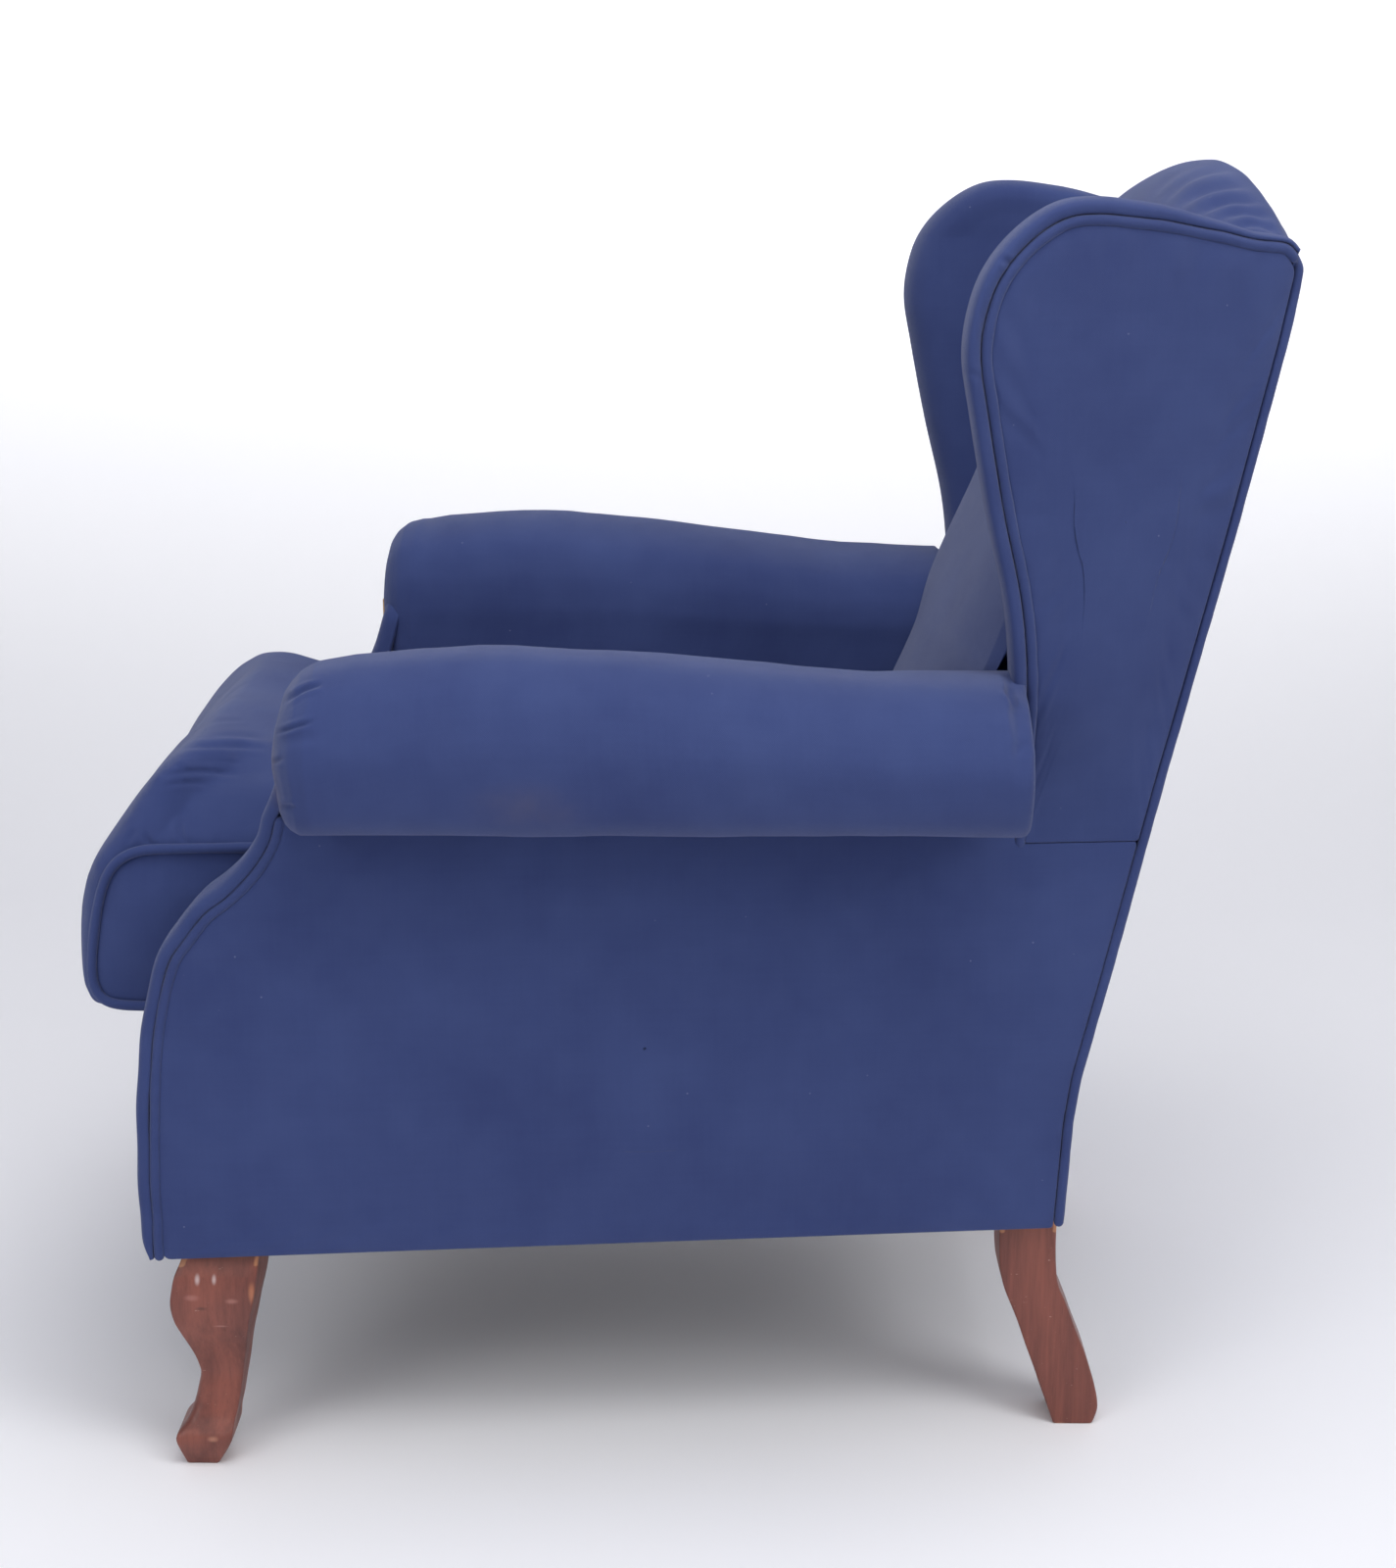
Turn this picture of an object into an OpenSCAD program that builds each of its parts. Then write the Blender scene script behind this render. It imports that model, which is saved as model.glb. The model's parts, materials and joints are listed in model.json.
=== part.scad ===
// Upholstered wing armchair with a loose seat cushion on a timber frame.
// The front faces -Y, +Z is up, and the origin is on the floor under the centre.
// Left is the sitter's left, on the +X side.

/* [Body] */
// Height of the body's lower edge above the floor
body_low = 187; // [150:1:240]
// Half width over the side panels at the front
body_front_half = 325; // [305:1:360]
// Half width over the side panels at the foot of the back
body_rear_half = 265; // [255:1:300]
// Distance from the origin forward to the front of the arms
front_reach = 415; // [395:1:440]
// Distance from the origin back to the foot of the back
rear_reach = 316; // [300:1:340]
// Thickness of the padded cloth skin on the outside panels
skin_t = 8; // [6:0.5:10]
// Diameter of the welts along the chair's seams
welt_d = 8.4; // [7:0.2:9]

/* [Timber] */
// Thickness of the frame timber
timber_t = 25; // [22:1:30]
// Height of the seat rails
seat_rail_h = 110; // [80:1:130]
// Depth of the back posts from front to rear
back_post_d = 45; // [36:1:55]
// Depth of the arm posts from front to rear
arm_post_d = 45; // [36:1:55]
// Height of the arm rails
arm_rail_h = 40; // [30:1:50]
// Height of the arm rails' tops above the arm roll's underside
arm_rail_rise = 59; // [50:1:70]
// Length of the corner blocks along the rails
block_l = 90; // [70:1:110]
// Height of the corner blocks
block_h = 60; // [40:1:80]
// Height of the lower back rail
lower_rail_h = 50; // [35:1:70]
// Height of the lower back rail above the deck
lower_rail_rise = 20; // [10:1:60]
// Diameter of the dowels
dowel_d = 10; // [8:0.5:12]
// Length of the dowels
dowel_l = 50; // [40:1:54]

/* [Seat] */
// Thickness of the webbing straps
strap_t = 2; // [1.5:0.1:3]
// Width of the webbing straps
strap_w = 60; // [40:1:70]
// Thickness of the hessian
hessian_t = 1.2; // [0.8:0.1:2]
// Thickness of the deck pad
deck_pad_t = 57; // [40:1:80]
// Thickness of the deck cover
deck_cover_t = 1.8; // [1:0.1:3]
// Depth of the padded border in front of the front rail
border_t = 16; // [10:0.5:17]

/* [Arms] */
// Height of the outside arm panel, up to the arm roll
arm_side_h = 354; // [320:1:390]
// Thickness of the inside arm pad
arm_pad_t = 25; // [18:1:30]
// Setback of the arm roll's front behind the foot of the arm front
arm_setback = 115; // [95:1:140]
// Depth of the padded arm front, before the arm post
arm_nose_d = 18; // [17:0.5:26]
// Width of the band of cloth outside the arm front, before its welt
arm_band_w = 11; // [8:0.5:13]
// Greatest height of the arm roll
roll_h = 133; // [110:1:150]
// Fall of the arm roll's top from front to rear
roll_fall = 23; // [10:1:40]
// Half width across the arm tops at the front
ridge_front_half = 334; // [325:1:350]
// Half width across the arm tops at the wings
ridge_rear_half = 320; // [305:1:335]
// Half width over the arm rolls
roll_out_half = 390; // [375:1:410]

/* [Wings] */
// Height of the seam under the wing panel, above the body's lower edge
seam_rise = 323; // [300:1:345]
// Height of the wing's top above the back's corner
wing_rise = 52; // [40:1:66]
// Distance from the origin back to the wing's leading edge
wing_lead = 211; // [190:1:230]
// Depth of the wing from its leading edge to the back's corner
wing_d = 253; // [240:1:270]
// Angle that the wing opens by, seen from above
wing_flare = 21; // [14:0.5:24]
// Height over which the wing panel turns out above its seam
flare_rise = 130; // [100:5:200]
// Thickness of the padded wing
wing_t = 58; // [50:1:66]

/* [Back] */
// Height of the back's corner above the body's lower edge
back_h = 759; // [700:1:800]
// Distance that the back leans over its height
back_lean = 148; // [120:1:160]
// Height of the crest above the back's corner
crest_rise = 74; // [68:1:90]
// Fall of the crest's arch from its middle to the wings
arch_fall = 60; // [40:1:66]
// Distance from the origin to the inside back at the deck
back_seat_y = 166; // [155:1:180]
// Distance that the inside back leans over its height
inside_lean = 200; // [180:1:215]
// Crown of the inside back at its middle
back_crown = 20; // [10:1:24]

/* [Cushion] */
// Distance from the origin forward to the cushion's front seams
cushion_reach = 452; // [435:1:470]
// Distance from the origin back to the cushion's rear
cushion_rear = 138; // [120:1:140]
// Height of the welts' top seams above the cushion's base
boxing_h = 137; // [110:1:160]
// Crown of the cushion above its welts
cushion_crown = 73; // [50:1:85]
// Bulge of the front boxing past the welts
front_bulge = 16; // [4:0.5:20]
// Drop of the top seams at the cushion's front
welt_droop = 24; // [10:1:30]
// Thickness of the cushion's cover over its core
cover_t = 4; // [2:0.5:8]
// Length of the cushion's zip
zip_l = 260; // [200:5:280]
// Width of the zip's tape
zip_w = 22; // [16:1:30]
// Height that the zip's tape stands proud
zip_t = 1.2; // [0.8:0.1:2]

/* [Legs] */
// Distance from the origin forward to the front legs' knees
knee_reach = 397; // [385:1:405]
// Half width over the front legs' knees
knee_half = 320; // [312:1:322]
// Width of the front legs at the knee
knee_w = 70; // [60:1:76]
// Half width over the rear legs
rear_leg_half = 239; // [230:1:240]
// Width of the rear legs across the chair
rear_leg_w = 45; // [38:1:50]
// Distance from the origin back to the rear legs' front
rear_leg_y = 267; // [262:1:272]
// Depth of the rear legs at the top
rear_leg_d = 47; // [42:1:49]
// Diameter of the hanger bolts
bolt_d = 8; // [6:0.5:10]
// Length of the hanger bolts in the legs
bolt_in_leg = 35; // [25:1:45]
// Height of the nuts
nut_h = 6.5; // [5:0.5:8]
// Width of the nuts over their corners
nut_w = 15; // [13:0.5:18]

/* [Fits] */
// Gap between pieces that lie against each other
fit_gap = 0.3; // [0.2:0.05:0.5]
// Gap between soft curved pieces that lie against each other
soft_gap = 0.7; // [0.5:0.05:0.9]
// Gap between the cushion and the arms at each side
cushion_gap = 1; // [0.6:0.1:3]
// Gap round a dowel or a bolt in its hole
hole_gap = 0.05; // [0.02:0.01:0.1]

/* [Hidden] */
$fn = 32;

// Heights
turn_under = 2;
frame_low = body_low + turn_under;
rail_top = frame_low + seat_rail_h;
cross_low = rail_top + strap_t;
hessian_low = cross_low + strap_t;
deck_low = hessian_low + hessian_t;
cover_low = deck_low + deck_pad_t;
deck_top = cover_low + deck_cover_t;
roll_low = body_low + arm_side_h;
arm_rail_top = roll_low + arm_rail_rise;
seam_h = body_low + seam_rise;
corner_h = body_low + back_h;
crest_h = corner_h + crest_rise;
wing_h = corner_h + wing_rise - seam_h;

// Plan: the outside of each side is a plane that draws in towards the rear
splay_slope = (body_front_half - body_rear_half) / (front_reach + rear_reach);
splay = atan(splay_slope);
timber_out = skin_t;
timber_in = skin_t + timber_t;
arm_in = timber_in + arm_pad_t;
post_front = arm_nose_d - front_reach;
rail_front = post_front;
rail_back = rail_front + timber_t;
welt_r = welt_d / 2;
welt_seat = welt_d + fit_gap;
back_seat = welt_seat + fit_gap;

// Shares of the back's height and lean along its rear edge, from the foot up
rear_edge_shares = [
    [0, 0], [0.12, 0.03], [0.17, 0.06], [0.28, 0.19], [0.5, 0.44],
    [0.75, 0.74], [0.93, 0.93], [1, 1], [1.1, 0.94]
];
// Shares of the height and lean of the inside back above the deck
inside_back_shares = [
    [0, 0], [0.15, 0.06], [0.29, 0.16], [0.46, 0.36], [0.62, 0.55],
    [0.75, 0.7], [0.92, 0.9], [1, 1], [1.2, 1.2]
];
// Shares of the setback and height of the arm front's silhouette
arm_front_shares = [
    [0.06, 0], [0.01, 0.04], [0, 0.2], [0.035, 0.42], [0.085, 0.57], [0.19, 0.69],
    [0.31, 0.75], [0.46, 0.81], [0.62, 0.85], [0.77, 0.9], [0.88, 0.955], [0.92, 1]
];
// Shares of the wing's depth and height round its silhouette
wing_shares = [
    [0.154, 0], [0.154, 0.185], [0.15, 0.3], [0.13, 0.406], [0.079, 0.541], [0.028, 0.686],
    [0, 0.779], [0.024, 0.861], [0.079, 0.918], [0.17, 0.965], [0.273, 0.994], [0.387, 1],
    [0.518, 0.99], [0.696, 0.963], [0.897, 0.93], [0.96, 0.904]
];
// Shares of the roll's half width and height round its section, from the inside foot over the top
roll_section_shares = [
    [-1, 0], [-1, 0.25], [-1, 0.45], [-0.93, 0.66], [-0.75, 0.85], [-0.4, 0.97], [0, 1],
    [0.4, 0.96], [0.76, 0.8], [0.97, 0.56], [0.98, 0.35], [0.84, 0.12], [0.55, 0], [0.2, 0]
];
// Shares of the roll's length, and of its size there, from the front end back
roll_station_shares = [
    [0, 0.55], [0.008, 0.76], [0.03, 0.92], [0.065, 1], [0.13, 1], [0.22, 1], [0.34, 1],
    [0.5, 1], [0.66, 1], [0.8, 1], [0.9, 1], [0.97, 0.98], [1, 0.93]
];
// Shares of the roll's length and fall along its top
roll_top_shares = [
    [0, 0.5], [0.05, 0.25], [0.1, 0.08], [0.17, 0], [0.33, 0], [0.55, 0.38], [0.8, 0.92], [1, 1]
];
// Shares of the knee's width and the leg's height down the front leg's outer and inner edges
knee_outer_shares = [
    [0.17, 1], [0.06, 0.86], [0, 0.74], [0.02, 0.65], [0.11, 0.585], [0.26, 0.49],
    [0.29, 0.43], [0.23, 0.36], [0.08, 0.27], [-0.02, 0.15], [-0.02, 0.1], [0.08, 0]
];
knee_inner_shares = [
    [0.46, 0], [0.54, 0.06], [0.62, 0.14], [0.7, 0.3], [0.79, 0.44], [0.88, 0.6],
    [0.99, 0.73], [1.05, 0.84], [1.1, 1]
];
// Shares of the rear leg's depth and height down its front edge and up its rear edge
rear_leg_shares = [
    [0, 1], [0.02, 0.79], [0.1, 0.66], [0.32, 0.52], [0.58, 0.34], [0.83, 0.165], [1.06, 0],
    [1.75, 0], [1.84, 0.08], [1.75, 0.2], [1.61, 0.31], [1.4, 0.45], [1.2, 0.58],
    [1.06, 0.66], [1.01, 0.75], [1, 0.985], [0.84, 0.985], [0.84, 1]
];

// Steps along these tables, and the widths of the bands at the wings' edges
wing_points = 28;
arm_points = 20;
wing_band = arm_band_w + soft_gap;
roll_rear = wing_lead + wing_d * wing_shares[0][0] + wing_band - soft_gap;
wing_seat = wing_band + welt_d + 2 * fit_gap;

// Geometry helpers
function unit(v) = v / norm(v);
function mix(a, b, t) = a + (b - a) * t;
function ease(t) = let (c = min(max(t, 0), 1)) c * c * (3 - 2 * c);
function spline_at(p, s) =
    let (n = len(p) - 1, i = min(floor(s), n - 1), t = s - i,
         a = p[max(i - 1, 0)], b = p[i], c = p[i + 1], d = p[min(i + 2, n)])
    (2 * b + (c - a) * t + (2 * a - 5 * b + 4 * c - d) * t * t
     + (3 * b - a - 3 * c + d) * t * t * t) / 2;
function spline(p, steps) = [for (i = [0:steps]) spline_at(p, i * (len(p) - 1) / steps)];
function tangent(p, i) = unit(p[min(i + 1, len(p) - 1)] - p[max(i - 1, 0)]);
function loop_tangent(p, i) = let (n = len(p)) unit(p[(i + 1) % n] - p[(i + n - 1) % n]);
// Moves a line of [y, z] points in, to the right of its direction of travel
function moved_in(p, s) = [for (i = [0:len(p) - 1]) let (t = tangent(p, i)) p[i] + s * [t[1], -t[0]]];
function reversed(p) = [for (i = [len(p) - 1:-1:0]) p[i]];
function section(p, t, ref, r, sides) =
    let (a = unit(cross(t, ref)), b = unit(cross(t, a)))
    [for (k = [0:sides - 1]) p + r * (cos(360 * k / sides) * a + sin(360 * k / sides) * b)];
function tube(path, r, ref, sides) =
    [for (i = [0:len(path) - 1]) section(path[i], tangent(path, i), ref, r, sides)];
function ring_tube(path, r, ref, sides) =
    [for (i = [0:len(path) - 1]) section(path[i], loop_tangent(path, i), ref, r, sides)];
function flat(lists) = [for (l = lists) for (v = l) v];
function total(v, i = 0) = i < len(v) ? v[i] + total(v, i + 1) : 0 * v[0];
function middle(p) = total(p) / len(p);
function six_volumes(p, f) = total([for (t = f) p[t[0]] * cross(p[t[1]], p[t[2]])]);

// Triangles between the two halves of a ring of n points, like the rungs of a ladder
function ladder(n) = flat([for (j = [0:floor((n - 3) / 2)])
    concat([[j, j + 1, n - 1 - j]], j + 1 < n - 2 - j ? [[j + 1, n - 2 - j, n - 1 - j]] : [])]);

// A closed skin over rings of points, each with as many points as the next. Its two ends are
// closed round their middles, or across from half to half where they are laddered.
module skin(rings, endless = false, laddered = false) {
    m = len(rings);
    n = len(rings[0]);
    last = endless ? m - 1 : m - 2;
    rungs = laddered ? ladder(n) : [];
    walls = flat([for (i = [0:last]) for (j = [0:n - 1])
        let (k = (i + 1) % m, q = (j + 1) % n)
        [[i * n + j, k * n + j, k * n + q], [i * n + j, k * n + q, i * n + q]]]);
    far = (m - 1) * n;
    caps = endless ? [] : laddered ? flat([for (f = rungs) [f, [far + f[2], far + f[1], far + f[0]]]])
        : flat([for (j = [0:n - 1]) let (q = (j + 1) % n) [[m * n, j, q], [m * n + 1, far + q, far + j]]]);
    points = concat(flat(rings), endless || laddered ? [] : [middle(rings[0]), middle(rings[m - 1])]);
    faces = concat(walls, caps);
    turned = six_volumes(points, faces) > 0;
    polyhedron(points, turned ? [for (f = faces) [f[2], f[1], f[0]]] : faces);
}

// Places on the sides and the back
function side_x(y) = body_front_half - (y + front_reach) * splay_slope;
function side_in(y, depth) = side_x(y) - depth / cos(splay);
function along(y) = (y + front_reach) / cos(splay);
function back_y(z) = rear_reach + back_lean * lookup((z - body_low) / back_h, rear_edge_shares);
function inside_y(z) =
    back_seat_y + inside_lean * lookup((z - deck_top) / (corner_h - deck_top), inside_back_shares);
function wing_slope(z) = mix(splay_slope, tan(wing_flare), ease((z - seam_h) / flare_rise));
function wing_x(y, z) = side_x(back_y(z)) + wing_slope(z) * (back_y(z) - y);
// The arch of the crest across the chair
arch_half = side_x(back_y(corner_h));
arch_bend = 2.2;
function arch_z(x) = crest_h - arch_fall * pow(abs(x) / arch_half, arch_bend);
// Heights from low to high with those between where the back's rear edge turns
function turns(low, high) = concat([low],
    [for (s = rear_edge_shares) let (z = body_low + back_h * s[0]) if (z > low && z < high) z], [high]);

arm_knots = [for (s = arm_front_shares) [arm_setback * s[0] - front_reach, body_low + arm_side_h * s[1]]];
arm_line = spline(arm_knots, arm_points);
wing_knots = [for (s = wing_shares) [wing_lead + wing_d * s[0], seam_h + wing_h * s[1]]];
wing_line = spline(wing_knots, wing_points);

module mirrored() mirror([1, 0, 0]) children();
module both() {
    children();
    mirrored() children();
}
// The plane of the left side: x outward, y along the side, z up
module side_plane() translate([body_front_half, -front_reach, 0]) rotate(splay) children();
// A board in that plane, from one depth below the outside to another
module side_board(points, outer, inner) side_plane() translate([-inner, 0, 0]) rotate([90, 0, 90])
    linear_extrude(inner - outer) polygon([for (p = points) [along(p[0]), p[1]]]);
// A board lying flat between the two sides
module deck_board(front, rear, depth, low, high) translate([0, 0, low]) linear_extrude(high - low)
    polygon([[-side_in(front, depth), front], [side_in(front, depth), front],
             [side_in(rear, depth), rear], [-side_in(rear, depth), rear]]);
module in_beech() color("burlywood") children();
module in_cloth() color([0.22, 0.28, 0.47]) children();
module in_lining() color([0.12, 0.12, 0.14]) children();
module in_mahogany() color([0.47, 0.25, 0.2]) children();

// Dowels and bolts
dowel_pitch = seat_rail_h / 2;
rear_rail_back = back_y(frame_low) - back_seat;
rear_rail_front = rear_rail_back - timber_t;
function post_face(z) = back_y(z) - back_seat - back_post_d;
lower_rail_low = deck_top + lower_rail_rise;
crest_rail_low = corner_h - 2 * lower_rail_h;
arm_rail_mid = arm_rail_top - arm_rail_h / 2;
arm_post_back = moved_in(arm_line, arm_nose_d + arm_post_d);
arm_rail_front = arm_post_back[arm_points][0];
side_rail_front = post_front + arm_post_d;

module dowel_across(y, z, r) side_plane()
    translate([-timber_in - dowel_l * 0.6, along(y), z]) rotate([0, 90, 0]) cylinder(h = dowel_l, r = r);
module dowel_along(y, z, r) side_plane()
    translate([timber_t / 2 - timber_in, along(y) - dowel_l / 2, z]) rotate([-90, 0, 0])
        cylinder(h = dowel_l, r = r);
module dowels(gap) {
    r = dowel_d / 2 + gap;
    seat_mid = rail_top - seat_rail_h / 2;
    both() {
        for (z = [seat_mid - dowel_pitch / 2, seat_mid + dowel_pitch / 2]) {
            dowel_across((rail_front + rail_back) / 2, z, r);
            dowel_across((rear_rail_front + rear_rail_back) / 2, z, r);
            dowel_along(side_rail_front, z, r);
            dowel_along(post_face(rail_top), z, r);
        }
        for (z = [lower_rail_low + lower_rail_h / 2, crest_rail_low + dowel_d * 2])
            dowel_across(back_y(z) - back_seat - timber_t / 2, z, r);
        dowel_along(arm_rail_front, arm_rail_mid, r);
        dowel_along(post_face(arm_rail_mid), arm_rail_mid, r);
    }
}
front_bolt = [side_in(rail_back, timber_in) - block_l * 0.25, rail_back + block_l * 0.25];
rear_bolt = [side_in(rear_rail_front, timber_in) - block_l * 0.2, rear_rail_front - nut_w / 2 - fit_gap];
module bolts(gap) both() for (p = [front_bolt, rear_bolt])
    translate([p[0], p[1], frame_low - bolt_in_leg])
        cylinder(h = bolt_in_leg + block_h + nut_h * 1.5, r = bolt_d / 2 + gap);

// Timber frame
module front_seat_rail() in_beech() difference() {
    deck_board(rail_front, rail_back, timber_in, frame_low, rail_top);
    dowels(hole_gap);
}
module rear_seat_rail() in_beech() difference() {
    deck_board(rear_rail_front, rear_rail_back, timber_in, frame_low, rail_top);
    dowels(hole_gap);
}
module side_seat_rail() in_beech() difference() {
    side_board(concat([[side_rail_front, frame_low]],
                      [for (z = turns(frame_low, rail_top)) [post_face(z), z]],
                      [[side_rail_front, rail_top]]), timber_out, timber_in);
    dowels(hole_gap);
}
module side_seat_rail_left() side_seat_rail();
module side_seat_rail_right() mirrored() side_seat_rail();
module seat_corner_blocks() in_beech() difference() {
    both() translate([0, 0, frame_low]) linear_extrude(block_h)
        for (c = [[rail_back, block_l], [rear_rail_front, -block_l]]) let (x = side_in(c[0], timber_in))
            polygon([[x, c[0]], [x - block_l, c[0]], [side_in(c[0] + c[1], timber_in), c[0] + c[1]]]);
    bolts(hole_gap);
}
arm_post_front = moved_in(arm_line, arm_nose_d);
module arm_post() in_beech() difference() {
    side_board(concat(
        [[side_rail_front, frame_low], [arm_post_front[0][0], frame_low]],
        [for (i = [1:arm_points]) arm_post_front[i]],
        [[arm_post_front[arm_points][0], arm_rail_top], [arm_rail_front, arm_rail_top]],
        [for (p = reversed(arm_post_back)) if (p[1] > rail_top + timber_t / 2) p],
        [[side_rail_front, rail_top]]), timber_out, timber_in);
    dowels(hole_gap);
}
module arm_post_left() arm_post();
module arm_post_right() mirrored() arm_post();
module arm_rail() in_beech() difference() {
    low = arm_rail_top - arm_rail_h;
    side_board(concat([[arm_rail_front, low]], [for (z = turns(low, arm_rail_top)) [post_face(z), z]],
                      [[arm_rail_front, arm_rail_top]]), timber_out, timber_in);
    dowels(hole_gap);
}
module arm_rail_left() arm_rail();
module arm_rail_right() mirrored() arm_rail();
post_top = corner_h - back_post_d * 0.9;
module back_post() in_beech() difference() {
    zs = turns(frame_low, post_top);
    side_board(concat([for (z = zs) [post_face(z), z]],
                      [for (z = reversed(zs)) [back_y(z) - back_seat, z]]), timber_out, timber_in);
    dowels(hole_gap);
}
module back_post_left() back_post();
module back_post_right() mirrored() back_post();
// A board across the chair that follows the back's lean, in side view
module back_board(low, high, outer, inner, half) translate([-half, 0, 0]) rotate([90, 0, 90])
    linear_extrude(2 * half) polygon(concat([for (z = turns(low, high)) [back_y(z) - outer, z]],
                                            [for (z = reversed(turns(low, high))) [back_y(z) - inner, z]]));
// The space between the frame's two sides
module between_posts(low, high) translate([0, 0, low]) linear_extrude(high - low)
    polygon([for (c = [[-1, -1], [1, -1], [1, 2], [-1, 2]])
        [c[0] * side_in(c[1] * front_reach, timber_in), c[1] * front_reach]]);
rail_cap = skin_t * 1.5;
arch_steps = 12;
crest_rail_half = side_in(back_y(corner_h), arm_in) - 2 * soft_gap;
rail_drop = rail_cap + welt_r + soft_gap;
// The arch drawn across the chair from one side to the other, some way below the crest
function arch_line(half, drop) = [for (i = [arch_steps:-1:-arch_steps])
    let (x = half * i / arch_steps) [x, arch_z(x) - drop]];
// A solid from front to rear with a given face, seen from the front
module through(face) translate([0, 2 * front_reach, 0]) rotate([90, 0, 0])
    linear_extrude(3 * front_reach) polygon(face);
module crest_rail() in_beech() difference() {
    foot = [[body_rear_half, crest_rail_low], [body_rear_half, post_top], [crest_rail_half, post_top]];
    intersection() {
        back_board(crest_rail_low, crest_h, back_seat, back_seat + timber_t, body_rear_half);
        between_posts(crest_rail_low, crest_h);
        through(concat(foot, arch_line(crest_rail_half, rail_drop),
                       [for (p = reversed(foot)) [-p[0], p[1]]]));
    }
    dowels(hole_gap);
}
module lower_back_rail() in_beech() difference() {
    top = lower_rail_low + lower_rail_h;
    intersection() {
        back_board(lower_rail_low, top, back_seat, back_seat + timber_t, body_rear_half);
        between_posts(lower_rail_low, top);
    }
    dowels(hole_gap);
}
// A curved bar behind the wing's edge, between two of the silhouette's points
bar_near = wing_seat + fit_gap;
bar_far = bar_near + timber_t;
bar_out = skin_t + 10 * soft_gap;
bar_foot = arm_rail_top + fit_gap;
// The first of the silhouette's points above a height
function first_above(z) = [for (i = [0:wing_points]) if (wing_line[i][1] > z + timber_t / 4) i][0];
function wing_bar(first, last, foot) =
    let (a = moved_in(wing_line, bar_near), b = moved_in(wing_line, bar_far))
    [for (i = [first:last]) [for (c = [[a, bar_out], [a, timber_in], [b, timber_in], [b, bar_out]])
        let (p = c[0][i], z = i == first && foot > 0 ? foot : p[1]) [wing_x(p[0], z) - c[1], p[0], z]]];
wing_bar_joint = round(wing_points * 0.56);
module wing_post() in_beech()
    skin(wing_bar(first_above(bar_foot) - 1, wing_bar_joint, bar_foot), laddered = true);
module wing_rail() in_beech()
    skin(wing_bar(wing_bar_joint, wing_points, 0), laddered = true);
module wing_post_left() wing_post();
module wing_post_right() mirrored() wing_post();
module wing_rail_left() wing_rail();
module wing_rail_right() mirrored() wing_rail();
module frame_dowels() color("wheat") dowels(0);

// Suspension
strap_pitch = 84;
module seat_webbing_lengthwise() color("tan") for (i = [-2:2])
    translate([i * strap_pitch - strap_w / 2, rail_front + strap_t * 3, rail_top])
        cube([strap_w, rear_rail_back - rail_front - strap_t * 6, strap_t]);
module seat_webbing_crosswise() color("tan") for (i = [0:5]) {
    y = mix(rail_back + strap_w, rear_rail_front - strap_w, i / 5);
    half = side_in(y + strap_w / 2, timber_in - timber_t / 2);
    translate([-half, y - strap_w / 2, cross_low]) cube([2 * half, strap_w, strap_t]);
}
// Shares of the height between the back's two rails at which its straps lie
back_strap_shares = [0.12, 0.5, 0.69, 0.88];
strap_face = back_seat + back_post_d + timber_in * sin(splay) + fit_gap;
module back_webbing() color("tan") for (s = back_strap_shares) {
    z = mix(lower_rail_low + lower_rail_h, crest_rail_low, s);
    back_board(z - strap_w / 2, z + strap_w / 2, strap_face, strap_face + strap_t,
               side_in(post_face(z), timber_in - timber_t / 2));
}
deck_rear = post_face(rail_top) - fit_gap;
// A layer of the deck between the posts, drawn in at the front between the padded arm fronts
module deck_layer(low, high) translate([0, 0, low]) linear_extrude(high - low) {
    places = [[rail_front, arm_in], [rail_back, arm_in], [rail_back, timber_in], [deck_rear, timber_in]];
    half = [for (p = places) [side_in(p[0], p[1] + soft_gap), p[0]]];
    polygon(concat(half, [for (p = reversed(half)) [-p[0], p[1]]]));
}
module seat_hessian() color("darkkhaki") deck_layer(hessian_low, deck_low);
module deck_pad() color("ivory") deck_layer(deck_low, cover_low);
module deck_cover() in_lining() deck_layer(cover_low, deck_top);

// Upholstery of the arms
module front_border() in_cloth()
    deck_board(rail_front - border_t, rail_front - fit_gap, arm_in + fit_gap, body_low, cover_low);
panel_front = moved_in(arm_line, arm_band_w + welt_d + 2 * fit_gap);
module arm_panel() in_cloth() side_board(concat(
    [[panel_front[1][0], body_low]], [for (i = [2:arm_points]) panel_front[i]],
    [[panel_front[arm_points][0], roll_low - fit_gap], [roll_rear, roll_low - fit_gap],
     [roll_rear, seam_h - fit_gap]],
    [for (z = reversed(turns(body_low, seam_h - fit_gap))) [back_y(z) - welt_seat, z]]), 0, skin_t);
module arm_panel_left() arm_panel();
module arm_panel_right() mirrored() arm_panel();
// Shares of the arm's thickness and the nose's depth round its section
nose_section_shares = [
    [0.14, 1], [0.14, 0.62], [0, 0.62], [0, 0.4], [0.03, 0.17], [0.12, 0.03], [0.25, 0],
    [0.75, 0], [0.9, 0.06], [0.98, 0.25], [1, 0.5], [1, 1]
];
module arm_front() in_cloth() {
    lines = [for (s = nose_section_shares) moved_in(arm_line, s[1] * (arm_nose_d - fit_gap))];
    side_plane() skin([for (i = [0:arm_points]) [for (k = [0:len(lines) - 1])
        let (p = lines[k][i], top = roll_low - fit_gap)
        [-arm_in * nose_section_shares[k][0], along(p[0]), min(max(p[1], body_low), top)]]]);
}
module arm_front_left() arm_front();
module arm_front_right() mirrored() arm_front();
welt_sides = 5;
arm_welt_line = moved_in(arm_line, arm_band_w + fit_gap + welt_r);
module arm_welt() in_cloth() side_plane() {
    path = [for (i = [0:arm_points - 1]) let (p = arm_welt_line[i])
        [welt_r - skin_t + fit_gap, along(p[0]), max(p[1], body_low)]];
    skin(tube(path, welt_r, [1, 0, 0], welt_sides), laddered = true);
}
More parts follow.
